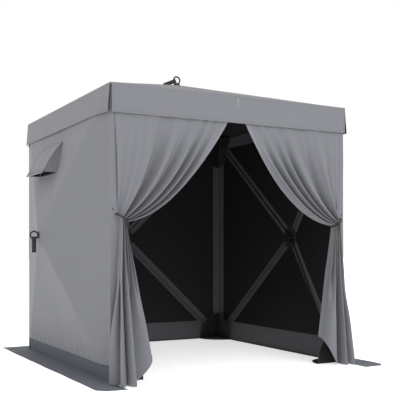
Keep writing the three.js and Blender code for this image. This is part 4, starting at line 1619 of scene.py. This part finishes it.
@dataclass(frozen=True)
class Curtain:
    """Half the doorway's curtain, gathered at its tie, with a zip flap along its inner edge.

    A point of the cloth has two shares: across, 0 at the corner and 1 at the inner edge, and
    down, 0 at the eave and 1 at the hem.
    """

    name: str
    side: int
    phase: float
    forward: float = 1.0  # how far the hem swings out in front of the doorway
    tie: Tie = Tie()
    cloth: float = 1.0 * MM
    folds: int = 5
    hem_folds: int = 4
    tie_share: float = 0.5
    fullness: float = 0.9  # share of the slack cloth that the folds take up
    crowding: float = 2.1  # how much closer the folds lie towards the inner edge
    lead: float = 0.075
    straight: float = 70 * MM
    hem_rise: float = 200 * MM
    flap: float = 30 * MM
    hem: float = 22 * MM

    @property
    def flat(self) -> tuple[float, float]:
        """Gives the flat curtain's width and length."""
        return ROOM.half - 3 * MM, ROOM.eave - 3 * MM

    def depth(self, width: Points) -> Points:
        """Gives how deep the folds are where the cloth is drawn in to a width."""
        slack = np.sqrt(np.maximum(self.flat[0] ** 2 - width**2, 0))
        return self.fullness * slack / (4 * self.folds)

    def wave(self, across: Points) -> Points:
        """Gives the fold at a share across: broad crests and narrow valleys, from -1 to 1."""
        turn = across**self.crowding + 0.017 * np.sin(TURN * 2.3 * across + self.phase)
        turn = turn + 0.008 * np.sin(TURN * 4.7 * across + 2 * self.phase)
        crest = 0.5 - 0.5 * np.cos(TURN * self.folds * turn + 0.4)
        low, high = 0.02**0.31, 1.02**0.31
        return 2 * ((crest * crest + 0.02) ** 0.31 - low) / (high - low) - 1

    def broad_wave(self, across: Points) -> Points:
        """Gives the fewer, broader folds at the hem, from -1 to 1."""
        turn = self.hem_folds * (across + 0.04 * np.sin(TURN * 1.6 * across + 3 * self.phase)) + 0.1
        crest = 0.5 - 0.5 * np.cos(TURN * turn)
        return 2 * crest**0.7 - 1

    def thread(self, across: Points, t: Points) -> tuple[Points, Points]:
        """Gives x and z of the unfolded threads above the tie, which sweep down from the eave."""
        gather = self.gathered(across)
        top_x = (ROOM.half - 3 * MM) * (1 - across) + 12 * MM * across
        top_z = ROOM.eave - 3 * MM
        lead = self.lead * across  # the inner edge hangs straight down for a while
        s = np.clip((t - lead) / (1 - lead), 0, 1)
        start_z = top_z - self.straight * across * np.clip(t / np.maximum(lead, 1e-6), 0, 1)
        swing = across**1.3
        sag_x = (top_x + self.tie.x) / 2 * (1 - swing) + self.tie.x * 0.5 * swing
        sag_z = (top_z + self.tie.z) / 2 * (1 - swing) + (self.tie.z + 20 * MM) * swing
        x = (1 - s) ** 2 * top_x + 2 * s * (1 - s) * sag_x + s * s * gather[..., 0]
        z = (1 - s) ** 2 * start_z + 2 * s * (1 - s) * sag_z + s * s * gather[..., 2]
        return x, z

    def upper(self, across: Points, down: Points) -> Points:
        """Gives points above the tie: the swept threads with folds that grow towards it."""
        t = down
        x, z = self.thread(across, t)
        inner, outer = self.thread(np.ones_like(across), t), self.thread(np.zeros_like(across), t)
        width = np.hypot(inner[0] - outer[0], inner[1] - outer[1])
        beside = 0.3 + 0.7 * smooth_step(across, 0.02, 0.3)
        depth = self.depth(width) * smooth_step(t, 0.02, 0.5) * (beside * (1 - t) + t)
        ripple = 2.2 * MM * t * (1 - t) * 4 * np.sin(TURN * 13 * across + 4 * self.phase)
        level = -(ROOM.half + 3 * MM) * (1 - t**1.5) - self.tie.y * t**1.5
        merge = t**4
        proud = 1 - smooth_step(across, 0.0, 0.5)  # beside the corner it stands in front of the seam
        y = level - depth * (self.wave(across) + proud) * (1 - merge) - ripple
        y = y + (self.gathered(across)[..., 1] + self.tie.y) * merge
        return stacked(x, y, z)

    def gathered(self, across: Points) -> Points:
        """Gives points of the gather inside the tie's cord."""
        along = (0.5 - across) * self.tie.width
        round_off = np.sqrt(np.clip(1 - 0.8 * (2 * across - 1) ** 2, 0, 1))
        depth = self.depth(self.tie.width) * round_off
        x = self.tie.x + along * math.cos(self.tie.tilt)
        z = self.tie.z + along * math.sin(self.tie.tilt)
        return stacked(x, -self.tie.y - depth * self.wave(across), z)

    def lower(self, across: Points, down: Points) -> Points:
        """Gives points below the tie: folds that fan out to a slanting hem."""
        t = down
        gather = self.gathered(across)
        stops = np.array([(908, -938), (965, -1170), (850, -1150), (678, -965)]) * MM
        stops[:, 1] = stops[0, 1] + (stops[:, 1] - stops[0, 1]) * self.forward
        a = across[..., None]
        hem = (
            (1 - a) ** 3 * stops[0] + 3 * a * (1 - a) ** 2 * stops[1] + 3 * a * a * (1 - a) * stops[2] + a**3
            * stops[3]
        )
        run = (
            3 * (1 - a) ** 2 * (stops[1] - stops[0]) + 6 * a * (1 - a) * (stops[2] - stops[1]) + 3 * a * a
            * (stops[3] - stops[2])
        )
        away = unit(stacked(-run[..., 1], run[..., 0]))
        away = unit(away * t[..., None] + np.array([0, -1.0]) * (1 - t[..., None]))
        hem_width = 0.42
        depth = self.depth(self.tie.width * (1 - t) + hem_width * t) * smooth_step(t, 0.0, 0.5)
        fewer = smooth_step(t, 0.15, 0.75)
        hem_fold = self.broad_wave(across) * self.folds / self.hem_folds
        fold = depth * (self.wave(across) * (1 - fewer) + hem_fold * fewer)
        rise = smooth_step(across, 0.72, 1.0)
        hem_z = 6 * MM + (self.hem_rise - 6 * MM) * rise
        keep = 1 - smooth_step(t, 0.0, 0.5)
        level = -self.tie.y + (gather[..., 1] + self.tie.y) * keep
        x = gather[..., 0] * (1 - t**1.15) + hem[..., 0] * t**1.15 + away[..., 0] * fold
        y = level * (1 - t**1.25) + hem[..., 1] * t**1.25 + away[..., 1] * fold
        z = gather[..., 2] * (1 - t) + hem_z * t
        return stacked(x, y, z)

    def point(self, across: Points, down: Points) -> Points:
        """Gives points of the cloth's middle surface."""
        across, down = matched(across, down)
        above = self.upper(across, np.clip(down / self.tie_share, 0, 1))
        below = self.lower(across, np.clip((down - self.tie_share) / (1 - self.tie_share), 0, 1))
        return np.where((down <= self.tie_share)[..., None], above, below) * (self.side, 1, 1)

    def skin(self, across: Points, down: Points, offset: float) -> Points:
        """Gives points that lie a distance outside the cloth."""
        across, down = matched(across, down)
        step = 0.002
        sideways = self.point(across + step, down) - self.point(across - step, down)
        downwards = self.point(
            across, np.clip(down + step, 0, 1)
        ) - self.point(across, np.clip(down - step, 0, 1))
        normal = unit(np.cross(sideways, downwards)) * self.side
        return self.point(across, down) + normal * offset

    def build(self) -> None:
        """Makes the curtain, its zip flap, zip and stitches, and declares how they move."""
        flat = self.flat
        flap, hem = self.flap / flat[0], self.hem / flat[1]
        down = np.unique(np.concatenate([np.linspace(0, 1, 151), [1 - hem - 0.001, 1 - hem + 0.0005]]))
        grid_a, grid_d = np.meshgrid(np.linspace(0, 1, 145), down)
        raised = 0.9 * MM * smooth_step(grid_d, 1 - hem - 0.0008, 1 - hem + 0.0004)
        uv = stacked(grid_a * flat[0], grid_d * flat[1])
        cloth = closed_sheet(
            f"{self.name}_curtain_cloth", self.point(grid_a, grid_d), uv, self.cloth, (0, -1, 0), COATED,
            raised
        )
        grid_a, grid_d = np.meshgrid(np.linspace(1 - flap, 1.002, 7), np.linspace(0, 0.996, 181))
        uv = stacked(grid_a * flat[0], grid_d * flat[1])
        lift = self.cloth / 2 + 0.8 * MM
        strip = closed_sheet(
            f"{self.name}_zip_flap", self.skin(grid_a, grid_d, lift), uv, 0.9 * MM, (0, -1, 0),
            [Finish.PATCH]
        )
        run = np.linspace(0.003, 0.99, 220)
        lines = [self.skin(1 - flap + 0.003, run, lift + 0.4 * MM), self.skin(0.995, run, lift + 0.4 * MM)]
        lines.append(self.skin(0.012, run, self.cloth / 2))
        lines.append(self.skin(np.linspace(0.01, 1 - flap, 260), 1 - hem, self.cloth / 2 + 0.5 * MM))
        stitches = STITCHES.lay(f"{self.name}_curtain_stitches", lines)
        zip_line = [self.skin(0.998, np.linspace(0.004, 0.985, 320), -1.6 * MM)]
        teeth = ZIP_TEETH.lay(f"{self.name}_curtain_zip", zip_line)
        settle([cloth, strip, stitches, teeth], "shelter")
        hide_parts(f"{self.name}_curtain")
        f"{self.name}_tieback_cord"


# ---- Vent ----


@dataclass(frozen=True)
class Vent:
    """The vent in the left wind panel: a screen window under a hood that a rod holds open."""

    face: DishedFace
    standoff: float
    cloth: float = 1.0 * MM
    frame_width: float = 16 * MM
    arch: float = 15 * MM  # how far the hood's middle stands out of a straight slope
    sleeve: float = 7 * MM
    over: float = 10 * MM  # how far the window's screen reaches past its opening
    slope: float = 260 * MM  # the hood's length from its seam to its lip
    lip_hem: float = 10 * MM
    gusset_width: float = 90 * MM
    gusset_share: float = 0.52  # of its rectangle, as it has three corners

    def window(self) -> Piece:
        """Makes the screen over the opening."""
        low_u, high_u, low_v, high_v = vent_window()
        over = self.over
        u, v = np.meshgrid(
            np.linspace(low_u - over, high_u + over, 24), np.linspace(low_v - over, high_v + over, 16)
        )
        uv = stacked(u, v)
        grid = self.face.point(u, v, self.standoff - 1.6 * MM)
        return closed_sheet("vent_window_screen", grid, uv, 0.8 * MM, self.face.out, [Finish.SCREEN])

    def frame_tapes(self) -> tuple[Piece, Piece]:
        """Makes the tapes round the opening and the stitches on them."""
        low_u, high_u, low_v, high_v = vent_window()
        half = self.frame_width / 2
        offset = self.standoff + 3.6 * MM
        runs = [((low_u - half, v), (high_u + half, v)) for v in (low_v, high_v)]
        runs += [((u, low_v - half), (u, high_v + half)) for u in (low_u, high_u)]
        tapes, lines = [], []
        for number, (start, end) in enumerate(runs):
            ends, level = np.array([start, end]), offset + (number // 2) * 0.9 * MM
            tapes.append(self.face.strip("tape", ends, self.frame_width, level, 0.8 * MM, Finish.PATCH))
            lines += [self.face.line(ends, sign * half * 0.65, level + 0.4 * MM) for sign in (-1, 1)]
        return joined("vent_frame_tapes", tapes), STITCHES.lay("vent_frame_stitches", lines)

    def hood_points(self, across: Points, down: Points) -> Points:
        """Gives points of the hood.

        Args:
            across: from -1 at its front side to 1 at its back side.
            down: from 0 at its sewn top edge to 1 at its lip.

        Returns:
            The points, with a last axis of 3.
        """
        flap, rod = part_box("vent_flap"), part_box("vent_stiffener_rod")
        middle, half = (flap[0].y + flap[1].y) / 2, (flap[1].y - flap[0].y) / 2
        across, down = matched(across, down)
        top = self.face.point(-(middle + across * half), flap[1].z - 2 * MM, self.standoff + 3.2 * MM)
        lip_x, lip_z = (rod[0].x + rod[1].x) / 2, (rod[0].z + rod[1].z) / 2
        lip = stacked(np.full(across.shape, lip_x), middle + across * half, np.full(across.shape, lip_z))
        arch = self.arch * np.sin(math.pi * down) * (1 - 0.35 * across**2)
        wave = 1.6 * MM * np.sin(across * 7 + 1.1) * np.sin(math.pi * down)
        slope = unit(np.array([lip_x - top[..., 0].mean(), 0, lip_z - flap[1].z]))
        outward = np.array([slope[2], 0, -slope[0]])
        outward = outward if outward[0] < 0 else -outward
        return top * (1 - down[..., None]) + lip * down[..., None] + (arch + wave)[..., None] * outward

    def hood(self) -> None:
        across, down = np.meshgrid(ticks(-1, 1, 0.07, [-0.94, -0.93, 0.93, 0.94]), np.linspace(0, 1, 20))
        edge = 1 - np.abs(across)
        raised = 0.8 * MM * (1 - smooth_step(edge, 0.058, 0.072))
        half = (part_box("vent_flap")[1].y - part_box("vent_flap")[0].y) / 2
        uv = stacked(across * half, down * self.slope)
        grid = self.hood_points(across, down)
        cloth = closed_sheet("vent_hood", grid, uv, self.cloth, self.face.out, COATED, raised)
        low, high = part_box("vent_stiffener_rod")
        x, z, radius = (low.x + high.x) / 2, (low.z + high.z) / 2, (high.z - low.z) / 2
        sleeve_path = np.array([(x, y, z) for y in np.linspace(low.y + 9 * MM, high.y - 9 * MM, 24)])
        sleeve = swept(
            "vent_hood_sleeve", sleeve_path, round_section(self.sleeve, 16), (0, 0, 1), Finish.OXFORD
        )
        turn = Matrix.Translation((x, low.y, z)) @ Matrix.Rotation(-math.pi / 2, 4, "X")
        length = high.y - low.y
        round_end = 1.5 * MM
        profile = [
            (0, 0), (radius - round_end, 0), (radius, round_end), (radius, length - round_end),
            (radius - round_end, length), (0, length)
        ]
        rod = lathe("vent_rod", profile, 20, turn, Finish.ROD)
        lines = [self.hood_points(sign * 0.935, np.linspace(0.03, 0.95, 20)) for sign in (-1, 1)]
        lines.append(self.hood_points(np.linspace(-0.97, 0.97, 40), 0.02))
        lines.append(self.hood_points(np.linspace(-0.93, 0.93, 40), 0.95))
        out = self.face.normal(0.0, 1.5)
        stitches = STITCHES.lay("vent_hood_stitches", [line + np.array(out) * 1.3 * MM for line in lines])
        settle([cloth, sleeve, stitches], "vent_flap")
        settle([rod], "vent_flap")
        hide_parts("vent_flap")
        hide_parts("vent_stiffener_rod")

    def gusset(self, sign: int) -> None:
        rib = np.linspace(0, 1, 18)
        top = self.hood_points(sign * 0.985, rib)
        under = self.face.point(-top[:, 1], top[:, 2], self.standoff + 3 * MM)
        share = np.linspace(0, 1, 8)[:, None, None]
        grid = top[None] * (1 - share) + under[None] * share
        tuck = np.sin(math.pi * share[..., 0]) * (3 * MM * rib)[None, :]
        grid = grid + tuck[..., None] * np.array([0, -sign, 0])
        uv = stacked(rib[None, :] * self.slope, share[..., 0] * self.gusset_width)
        name = "vent_gusset_front" if sign < 0 else "vent_gusset_back"
        piece = closed_sheet(name, grid, uv, self.cloth, (0, sign, 0), COATED)
        settle([piece], "vent_window")
        out = self.face.normal(0.0, 1.5)
        anchor = self.face.point(0.0, 1.5, self.standoff + 3 * MM)
        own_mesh(piece)

    def build(self) -> None:
        """Makes the vent's pieces, puts the window, hood and gussets on their bodies, and hides the imported
        ones.
        """
        window = self.window()
        settle([window], "vent_window")
        settle(self.frame_tapes(), self.face)
        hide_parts("vent_window")
        self.hood()
        self.gusset(-1)
        self.gusset(1)


def vent_window() -> tuple[float, float, float, float]:
    """Gives the limits of the vent's opening across and up the left wall."""
    low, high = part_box("vent_window")
    return -high.y, -low.y, low.z, high.z


# ---- Hubs, rods, rings and straps ----


@dataclass(frozen=True)
class HubSet:
    """A hub with its four rods, its outer cap, its pull ring and its webbing strap."""

    face: DishedFace
    tips: tuple[tuple[str, float, float, float], ...]  # label, u and v from the hub, n of each tip
    cap_height: float
    radius: float = 42 * MM
    thickness: float = 16 * MM
    pivot_depth: float = 10 * MM
    pivot: float = 30 * MM
    slot_half: float = 6.4 * MM
    pin: float = 3 * MM
    rod: float = 5.5 * MM
    ferrule: float = 6 * MM
    ferrule_end: float = 62 * MM
    tip_radius: float = 8 * MM
    tip_length: float = 30 * MM
    cap_radius: float = 28 * MM
    ring: float = 27 * MM
    bar: float = 6 * MM
    strap_width: float = 31 * MM
    strap_length: float = 92 * MM
    layer: float = 2.6 * MM
    droop: float | None = None  # how far the strap hangs from level, on the roof

    @property
    def name(self) -> str:
        """Gives the face's name."""
        return self.face.name

    def place(self, n: float) -> Matrix:
        """Gives the place of the hub's own axes: X across, Y up and Z out of the face."""
        turn = Matrix([self.face.across, self.face.up, self.face.out]).transposed().to_4x4()
        middle = Vector(self.face.out) * (self.face.foot + n) + Vector(self.face.up) * self.face.middle
        return Matrix.Translation(middle) @ turn

    @property
    def hub_n(self) -> float:
        """Gives the place of the rods' pivots along n."""
        return self.face.rise - self.pivot_depth

    def hub(self) -> Piece:
        """Makes the slotted hub with its boss, its screw and a steel pin through each slot."""
        place = self.place(self.hub_n)
        half = self.thickness / 2
        slot_start = self.pivot - self.ferrule - 2 * MM
        angles = sorted(math.atan2(v, u) for _, u, v, _ in self.tips)
        outline = []
        for number, angle in enumerate(angles):
            lean = math.asin(self.slot_half / self.radius)
            along, aside = Vector(
                (math.cos(angle), math.sin(angle))
            ), Vector((-math.sin(angle), math.cos(angle)))
            outline.append(along * slot_start - aside * self.slot_half)
            outline.append(along * slot_start + aside * self.slot_half)
            after = angles[(number + 1) % len(angles)] + (TURN if number == len(angles) - 1 else 0)
            for turn in np.linspace(angle + lean, after - lean, 13):
                outline.append(Vector((math.cos(turn), math.sin(turn))) * self.radius)
        work = bmesh.new()
        foot = work.faces.new([work.verts.new((x, y, -half)) for x, y in outline])
        moved = bmesh.ops.extrude_face_region(work, geom=[foot])["geom"]
        bmesh.ops.translate(
            work, verts=[v for v in moved if isinstance(v, bmesh.types.BMVert)], vec=(0, 0, 2 * half)
        )
        bmesh.ops.recalc_face_normals(work, faces=work.faces)
        rims = [e for e in work.edges if abs(e.verts[0].co.z - e.verts[1].co.z) < 1e-7]
        bmesh.ops.bevel(work, geom=rims, offset=1.4 * MM, segments=2, affect="EDGES", profile=0.6)
        bmesh.ops.transform(work, matrix=place, verts=work.verts)
        mesh = bpy.data.meshes.new("hub")
        work.to_mesh(mesh)
        work.free()
        body = add_object("hub", mesh)
        mesh.uv_layers.new(name="cloth")
        mesh.polygons.foreach_set("use_smooth", np.ones(len(mesh.polygons), bool))
        mesh.set_sharp_from_angle(angle=math.radians(35))
        mesh.materials.append(Finish.NYLON.get())
        boss = [
            (0, -half - 5 * MM), (6 * MM, -half - 5 * MM), (6.5 * MM, -half - 3.5 * MM),
            (11 * MM, -half - 3.5 * MM), (13 * MM, -half - 2 * MM), (14 * MM, -half + 1 * MM),
            (0, -half + 1 * MM)
        ]
        pieces = [body, lathe("boss", boss, 32, place, Finish.NYLON)]
        screw = [
            (0, -half - 6.8 * MM), (2.4 * MM, -half - 6.8 * MM), (4.3 * MM, -half - 5.6 * MM),
            (4.3 * MM, -half - 4.8 * MM), (0, -half - 4.8 * MM)
        ]
        pieces.append(lathe("screw", screw, 20, place, Finish.STEEL))
        reach = self.slot_half + 5 * MM
        for angle in angles:
            turn = Matrix.Rotation(angle, 4, "Z") @ Matrix.Translation(
                (self.pivot, 0, 0)
            ) @ Matrix.Rotation(math.pi / 2, 4, "X")
            profile = [(0, -reach), (self.pin, -reach), (self.pin, reach), (0, reach)]
            pieces.append(lathe("pin", profile, 16, place @ turn, Finish.STEEL))
        return joined(f"{self.name}_hub_body", pieces)

    def cap(self) -> Piece:
        """Makes the outer cap with its neck through the cloth and a rounded rim."""
        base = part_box(f"{self.name}_hub_cap")
        height = self.cap_height
        out = Vector(self.face.out)
        top = max(base[0].dot(out), base[1].dot(out)) - self.face.foot
        place = self.place(top - height)
        hole, neck = self.bar + 0.3 * MM, 10 * MM
        cup, floor = self.bar + 13 * MM, height - 4.3 * MM
        profile = [
            (hole, -18 * MM), (neck, -18 * MM), (neck, 0), (self.cap_radius - 2.5 * MM, 0),
            (self.cap_radius - 0.6 * MM, 0.6 * MM), (self.cap_radius, 2.2 * MM),
            (self.cap_radius - 0.6 * MM, 3.6 * MM), (self.cap_radius - 3 * MM, height - 1.2 * MM),
            (self.cap_radius - 3.8 * MM, height - 0.2 * MM), (self.cap_radius - 5 * MM, height),
            (cup + 1 * MM, height), (cup, height - 0.8 * MM), (cup - 2 * MM, floor + 0.6 * MM),
            (cup - 3 * MM, floor), (hole + 1 * MM, floor), (hole, floor - 1 * MM)
        ]
        return lathe(f"{self.name}_cap", profile, 48, place, Finish.NYLON)

    def ring_middle(self) -> float:
        """Gives the place of the ring's middle along n."""
        low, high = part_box(f"{self.name}_pull_ring")
        out = Vector(self.face.out)
        return max(low.dot(out), high.dot(out)) - self.ring - self.bar - self.face.foot

    def ring_turn(self) -> Matrix:
        """Turns axes whose XZ plane holds the ring: a wall's ring stands upright."""
        return Matrix.Identity(4) if self.droop is not None else Matrix.Rotation(math.pi / 2, 4, "Z")

    def pull_ring(self) -> Piece:
        """Makes the ring on its stem, with a collar where they meet."""
        middle = self.ring_middle()
        place = self.place(middle) @ self.ring_turn()
        angle = np.linspace(0, TURN, 65)[:-1]
        path = np.array(
            [place @ Vector((self.ring * math.cos(a), 0, self.ring * math.sin(a))) for a in angle]
        )
        up = np.array(place.to_3x3() @ Vector((0, 1, 0)))
        ring = swept("ring", path, round_section(self.bar, 18), up, Finish.NYLON, closed=True)
        stem_end = -(middle - self.hub_n - self.thickness / 2 - 0.4 * MM)
        collar = -self.ring - 1 * MM
        profile = [
            (0, stem_end), (self.bar - 0.8 * MM, stem_end), (self.bar, stem_end + 0.8 * MM),
            (self.bar, collar - 6 * MM), (self.bar + 1.6 * MM, collar - 3 * MM), (self.bar, collar + 1 * MM),
            (0, collar + 2 * MM)
        ]
        return joined(f"{self.name}_ring", [ring, lathe("stem", profile, 28, place, Finish.NYLON)])

    def strap(self) -> tuple[Piece, Piece]:
        """Makes the webbing loop that hangs from the ring, and its box of stitches."""
        place = self.place(self.ring_middle())
        if self.droop is not None:
            turn = Matrix.Rotation(math.pi / 2 - self.droop, 4, "Y")
        else:
            turn = Matrix(((0, 1, 0, 0), (0, 0, 1, 0), (1, 0, 0, 0), (0, 0, 0, 1)))
        place = place @ turn
        end, seam = -self.ring - self.bar - self.strap_length, -self.ring - 26 * MM
        half, eye = self.layer / 2 + 0.15 * MM, 10.5 * MM
        centre = -self.ring + 5.5 * MM
        side = [
            (half, end), (half, (end + seam) / 2), (half, seam), (half + 2.6 * MM, seam + 9 * MM),
            (eye, centre - 5 * MM)
        ]
        arc = [(eye * math.cos(a), centre + eye * math.sin(a)) for a in np.linspace(0, math.pi, 13)]
        outline = side + arc + [(-y, z) for y, z in reversed(side)]
        path = resampled(np.array([place @ Vector((0, y, z)) for y, z in outline]), 4 * MM)
        width_axis = np.array(place.to_3x3() @ Vector((1, 0, 0)))
        section = flat_section(self.layer, self.strap_width)
        webbing = swept(f"{self.name}_strap_webbing", path, section, width_axis, Finish.WEBBING)
        box_w, top, low = self.strap_width / 2 - 4 * MM, seam - 4 * MM, seam - 30 * MM
        corners = [(-box_w, top), (box_w, top), (box_w, low), (-box_w, low), (-box_w, top), (box_w, low)]
        lines = []
        for sign in (-1, 1):
            y = sign * (half + self.layer / 2)
            for route in (corners, [(box_w, top), (-box_w, low)]):
                points = np.array([place @ Vector((x, y, z)) for x, z in route])
                lines.append(resampled(points, 3 * MM))
        return webbing, DARK_STITCHES.lay(f"{self.name}_strap_stitches", lines)

    def poles(self) -> None:
        hub = self.place(self.hub_n)
        for label, u, v, n in self.tips:
            out = Vector((u, v, 0)).normalized()
            start = out * self.pivot
            reach = Vector((u, v, n - self.hub_n)) - start
            length, along = reach.length, reach.normalized()
            pin_axis = out.cross(Vector((0, 0, 1)))
            turn = Matrix([pin_axis, along.cross(pin_axis), along]).transposed().to_4x4()
            place = hub @ Matrix.Translation(start) @ turn
            ferrule, rod, tip = self.ferrule, self.rod, self.tip_radius
            end, cap = self.ferrule_end, length - self.tip_length
            socket = [(0, -ferrule), (ferrule - 2 * MM, -ferrule), (ferrule, -ferrule + 2 * MM)]
            for groove in (30 * MM, 40 * MM, 50 * MM):
                socket += [
                    (ferrule, groove), (ferrule - 0.7 * MM, groove + 0.8 * MM), (ferrule, groove + 1.6 * MM)
                ]
            socket += [(ferrule, end - 1 * MM), (ferrule - 0.5 * MM, end), (0, end)]
            shaft = [(0, end - 6 * MM), (rod, end - 6 * MM), (rod, cap + 6 * MM), (0, cap + 6 * MM)]
            rubber = [(0, cap), (rod + 0.6 * MM, cap), (tip - 0.5 * MM, cap + 1.5 * MM), (tip, cap + 3 * MM)]
            for rib in (9 * MM, 14 * MM, 19 * MM):
                rubber += [(tip, cap + rib), (tip - 0.8 * MM, cap + rib + 1 * MM), (tip, cap + rib + 2 * MM)]
            rubber += [
                (tip, length - 4 * MM), (tip - 1 * MM, length - 1.6 * MM), (tip - 3 * MM, length),
                (0, length)
            ]
            node = f"{self.name}_pole_{label}"
            pieces = [
                lathe("socket", socket, 20, place, Finish.NYLON),
                lathe("shaft", shaft, 20, place, Finish.ROD), lathe("tip", rubber, 20, place, Finish.NYLON)
            ]
            pole = joined(f"{node}_rod", pieces)
            settle([pole], node)
            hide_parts(node)

    def build(self) -> None:
        """Makes the hub's pieces and declares how they move."""
        for piece, node in (
            (self.hub(), f"{self.name}_hub"), (self.cap(), f"{self.name}_hub_cap"),
            (self.pull_ring(), f"{self.name}_pull_ring")
        ):
            settle([piece], f"{self.name}_hub_set")
            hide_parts(node)
        webbing, stitches = self.strap()
        settle([webbing, stitches], f"{self.name}_pull_strap")
        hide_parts(f"{self.name}_pull_strap")
        self.poles()


def wall_hub(name: str, ends: tuple[str, str]) -> HubSet:
    """Gives the hub set of a wall.

    Args:
        name: the wall's name.
        ends: what the rods' tips point to at u = -1 and at u = 1.

    Returns:
        The hub set.
    """
    tip_u, tip_v = ROOM.half - 65 * MM, ROOM.eave / 2 - 45 * MM
    tips = tuple(
        (f"{level}_{ends[(du + 1) // 2]}", du * tip_u, dv * tip_v, -25 * MM) for level,
        dv in (("bottom", -1), ("top", 1)) for du in (-1, 1)
    )
    return HubSet(WALLS[name], tips, cap_height=7.7 * MM)


def roof_hub() -> HubSet:
    """Gives the hub set of the roof."""
    reach = ROOM.half - 45 * MM
    tips = tuple(
        (f"{depth}_{side}", du * reach, dv * reach, 1862 * MM - ROOM.eave) for depth,
        dv in (("front", -1), ("back", 1)) for side, du in (("left", -1), ("right", 1))
    )
    return HubSet(ROOF, tips, cap_height=20.7 * MM, droop=math.radians(24))


# ---- Studio ----


@dataclass(frozen=True)
class Studio:
    """A white floor, a white surround, soft lamps and the camera."""

    eye: Triple = (-2.699, -5.375, 0.838)
    heading: float = math.radians(-28.42)
    lens: float = 68.2
    shift: float = 0.124
    surround: float = 1.0
    glow: float = 0.58  # of the floor, which is lit from below

    def camera(self) -> None:
        """Makes the level camera, whose view is shifted up to hold the roof."""
        data = bpy.data.cameras.new("camera")
        data.sensor_width = 36.0
        data.lens = self.lens
        data.shift_y = self.shift
        data.clip_end = 200.0
        camera = add_object("camera", data)
        camera.location = self.eye
        camera.rotation_euler = (math.pi / 2, 0, self.heading)
        bpy.context.scene.camera = camera

    def lamp(
        self, name: str, place: Sequence[float], target: Sequence[float], size: float, power: float
    ) -> None:
        """Adds one soft square lamp.

        Args:
            name: the lamp's name.
            place: where it hangs.
            target: what it points at.
            size: the side of its square.
            power: its power in watts.
        """
        data = bpy.data.lights.new(name, "AREA")
        data.size = size
        data.energy = power
        lamp = add_object(name, data)
        lamp.location = place
        lamp.rotation_euler = (Vector(target) - Vector(place)).to_track_quat("-Z", "Y").to_euler()

    def build(self) -> None:
        """Makes the camera, the surround, the floor and the lamps."""
        self.camera()
        scene = bpy.context.scene
        scene.view_settings.view_transform = "Standard"
        world = bpy.data.worlds.new("studio surround")
        world.use_nodes = True
        background = world.node_tree.nodes["Background"]
        background.inputs["Color"].default_value = (1.0, 1.0, 1.0, 1.0)
        background.inputs["Strength"].default_value = self.surround
        scene.world = world
        reach = 60.0
        corners = [(-reach, -reach, 0), (reach, -reach, 0), (reach, reach, 0), (-reach, reach, 0)]
        mesh = bpy.data.meshes.new("floor")
        mesh.from_pydata(corners, [], [(0, 1, 2, 3)])
        material, tree = start_material("matt white studio floor")
        glow = {"Emission Color": (1.0, 1.0, 1.0, 1.0), "Emission Strength": self.glow}
        dress(tree, {"Base Color": (0.95, 0.95, 0.95, 1.0), "Roughness": 0.9, **glow})
        mesh.materials.append(material)
        add_object("floor", mesh)
        self.lamp("key", (0.5, -8.0, 4.5), (0, 0, 0.9), 4.0, 210.0)
        self.lamp("fill", (-6.5, -2.0, 3.0), (0, 0, 0.9), 4.0, 25.0)


def main() -> None:
    """Builds the studio and the shelter, piece by piece."""
    logging.basicConfig(level=logging.INFO, format="%(name)s: %(message)s")
    Studio().build()
    Roof().build()
    for name, out, flare in (
        ("left", (-1, 0, 0), 36 * MM), ("right", (1, 0, 0), 36 * MM), ("back", (0, 1, 0), 36 * MM),
        ("front", (0, -1, 0), 0.0)
    ):
        Valance(name, out, flare).build()
    for name, face in WALLS.items():
        Wall(face, window=vent_window() if name == "left" else None).build()
    GroundSkirt().build()
    floor_piping()
    for side in ("left", "right"):
        for end in ("front", "back"):
            CornerSeam(side, end).build()
    for level in ("bottom", "top"):
        for end in ("front", "back"):
            for side in ("left", "right"):
                CornerPocket(level, end, side).build()
    for name, side, phase, forward in (("left", -1, 0.7, 1.0), ("right", 1, 2.3, 0.5)):
        Tie().build(name, side)
        Curtain(name, side, phase, forward).build()
    Vent(WALLS["left"], Wall(WALLS["left"]).standoff).build()
    for hub in (
        wall_hub("left", ("back", "front")), wall_hub("right", ("front", "back")),
        wall_hub("back", ("right", "left")), roof_hub()
    ):
        hub.build()


if __name__ == "__main__":
    main()
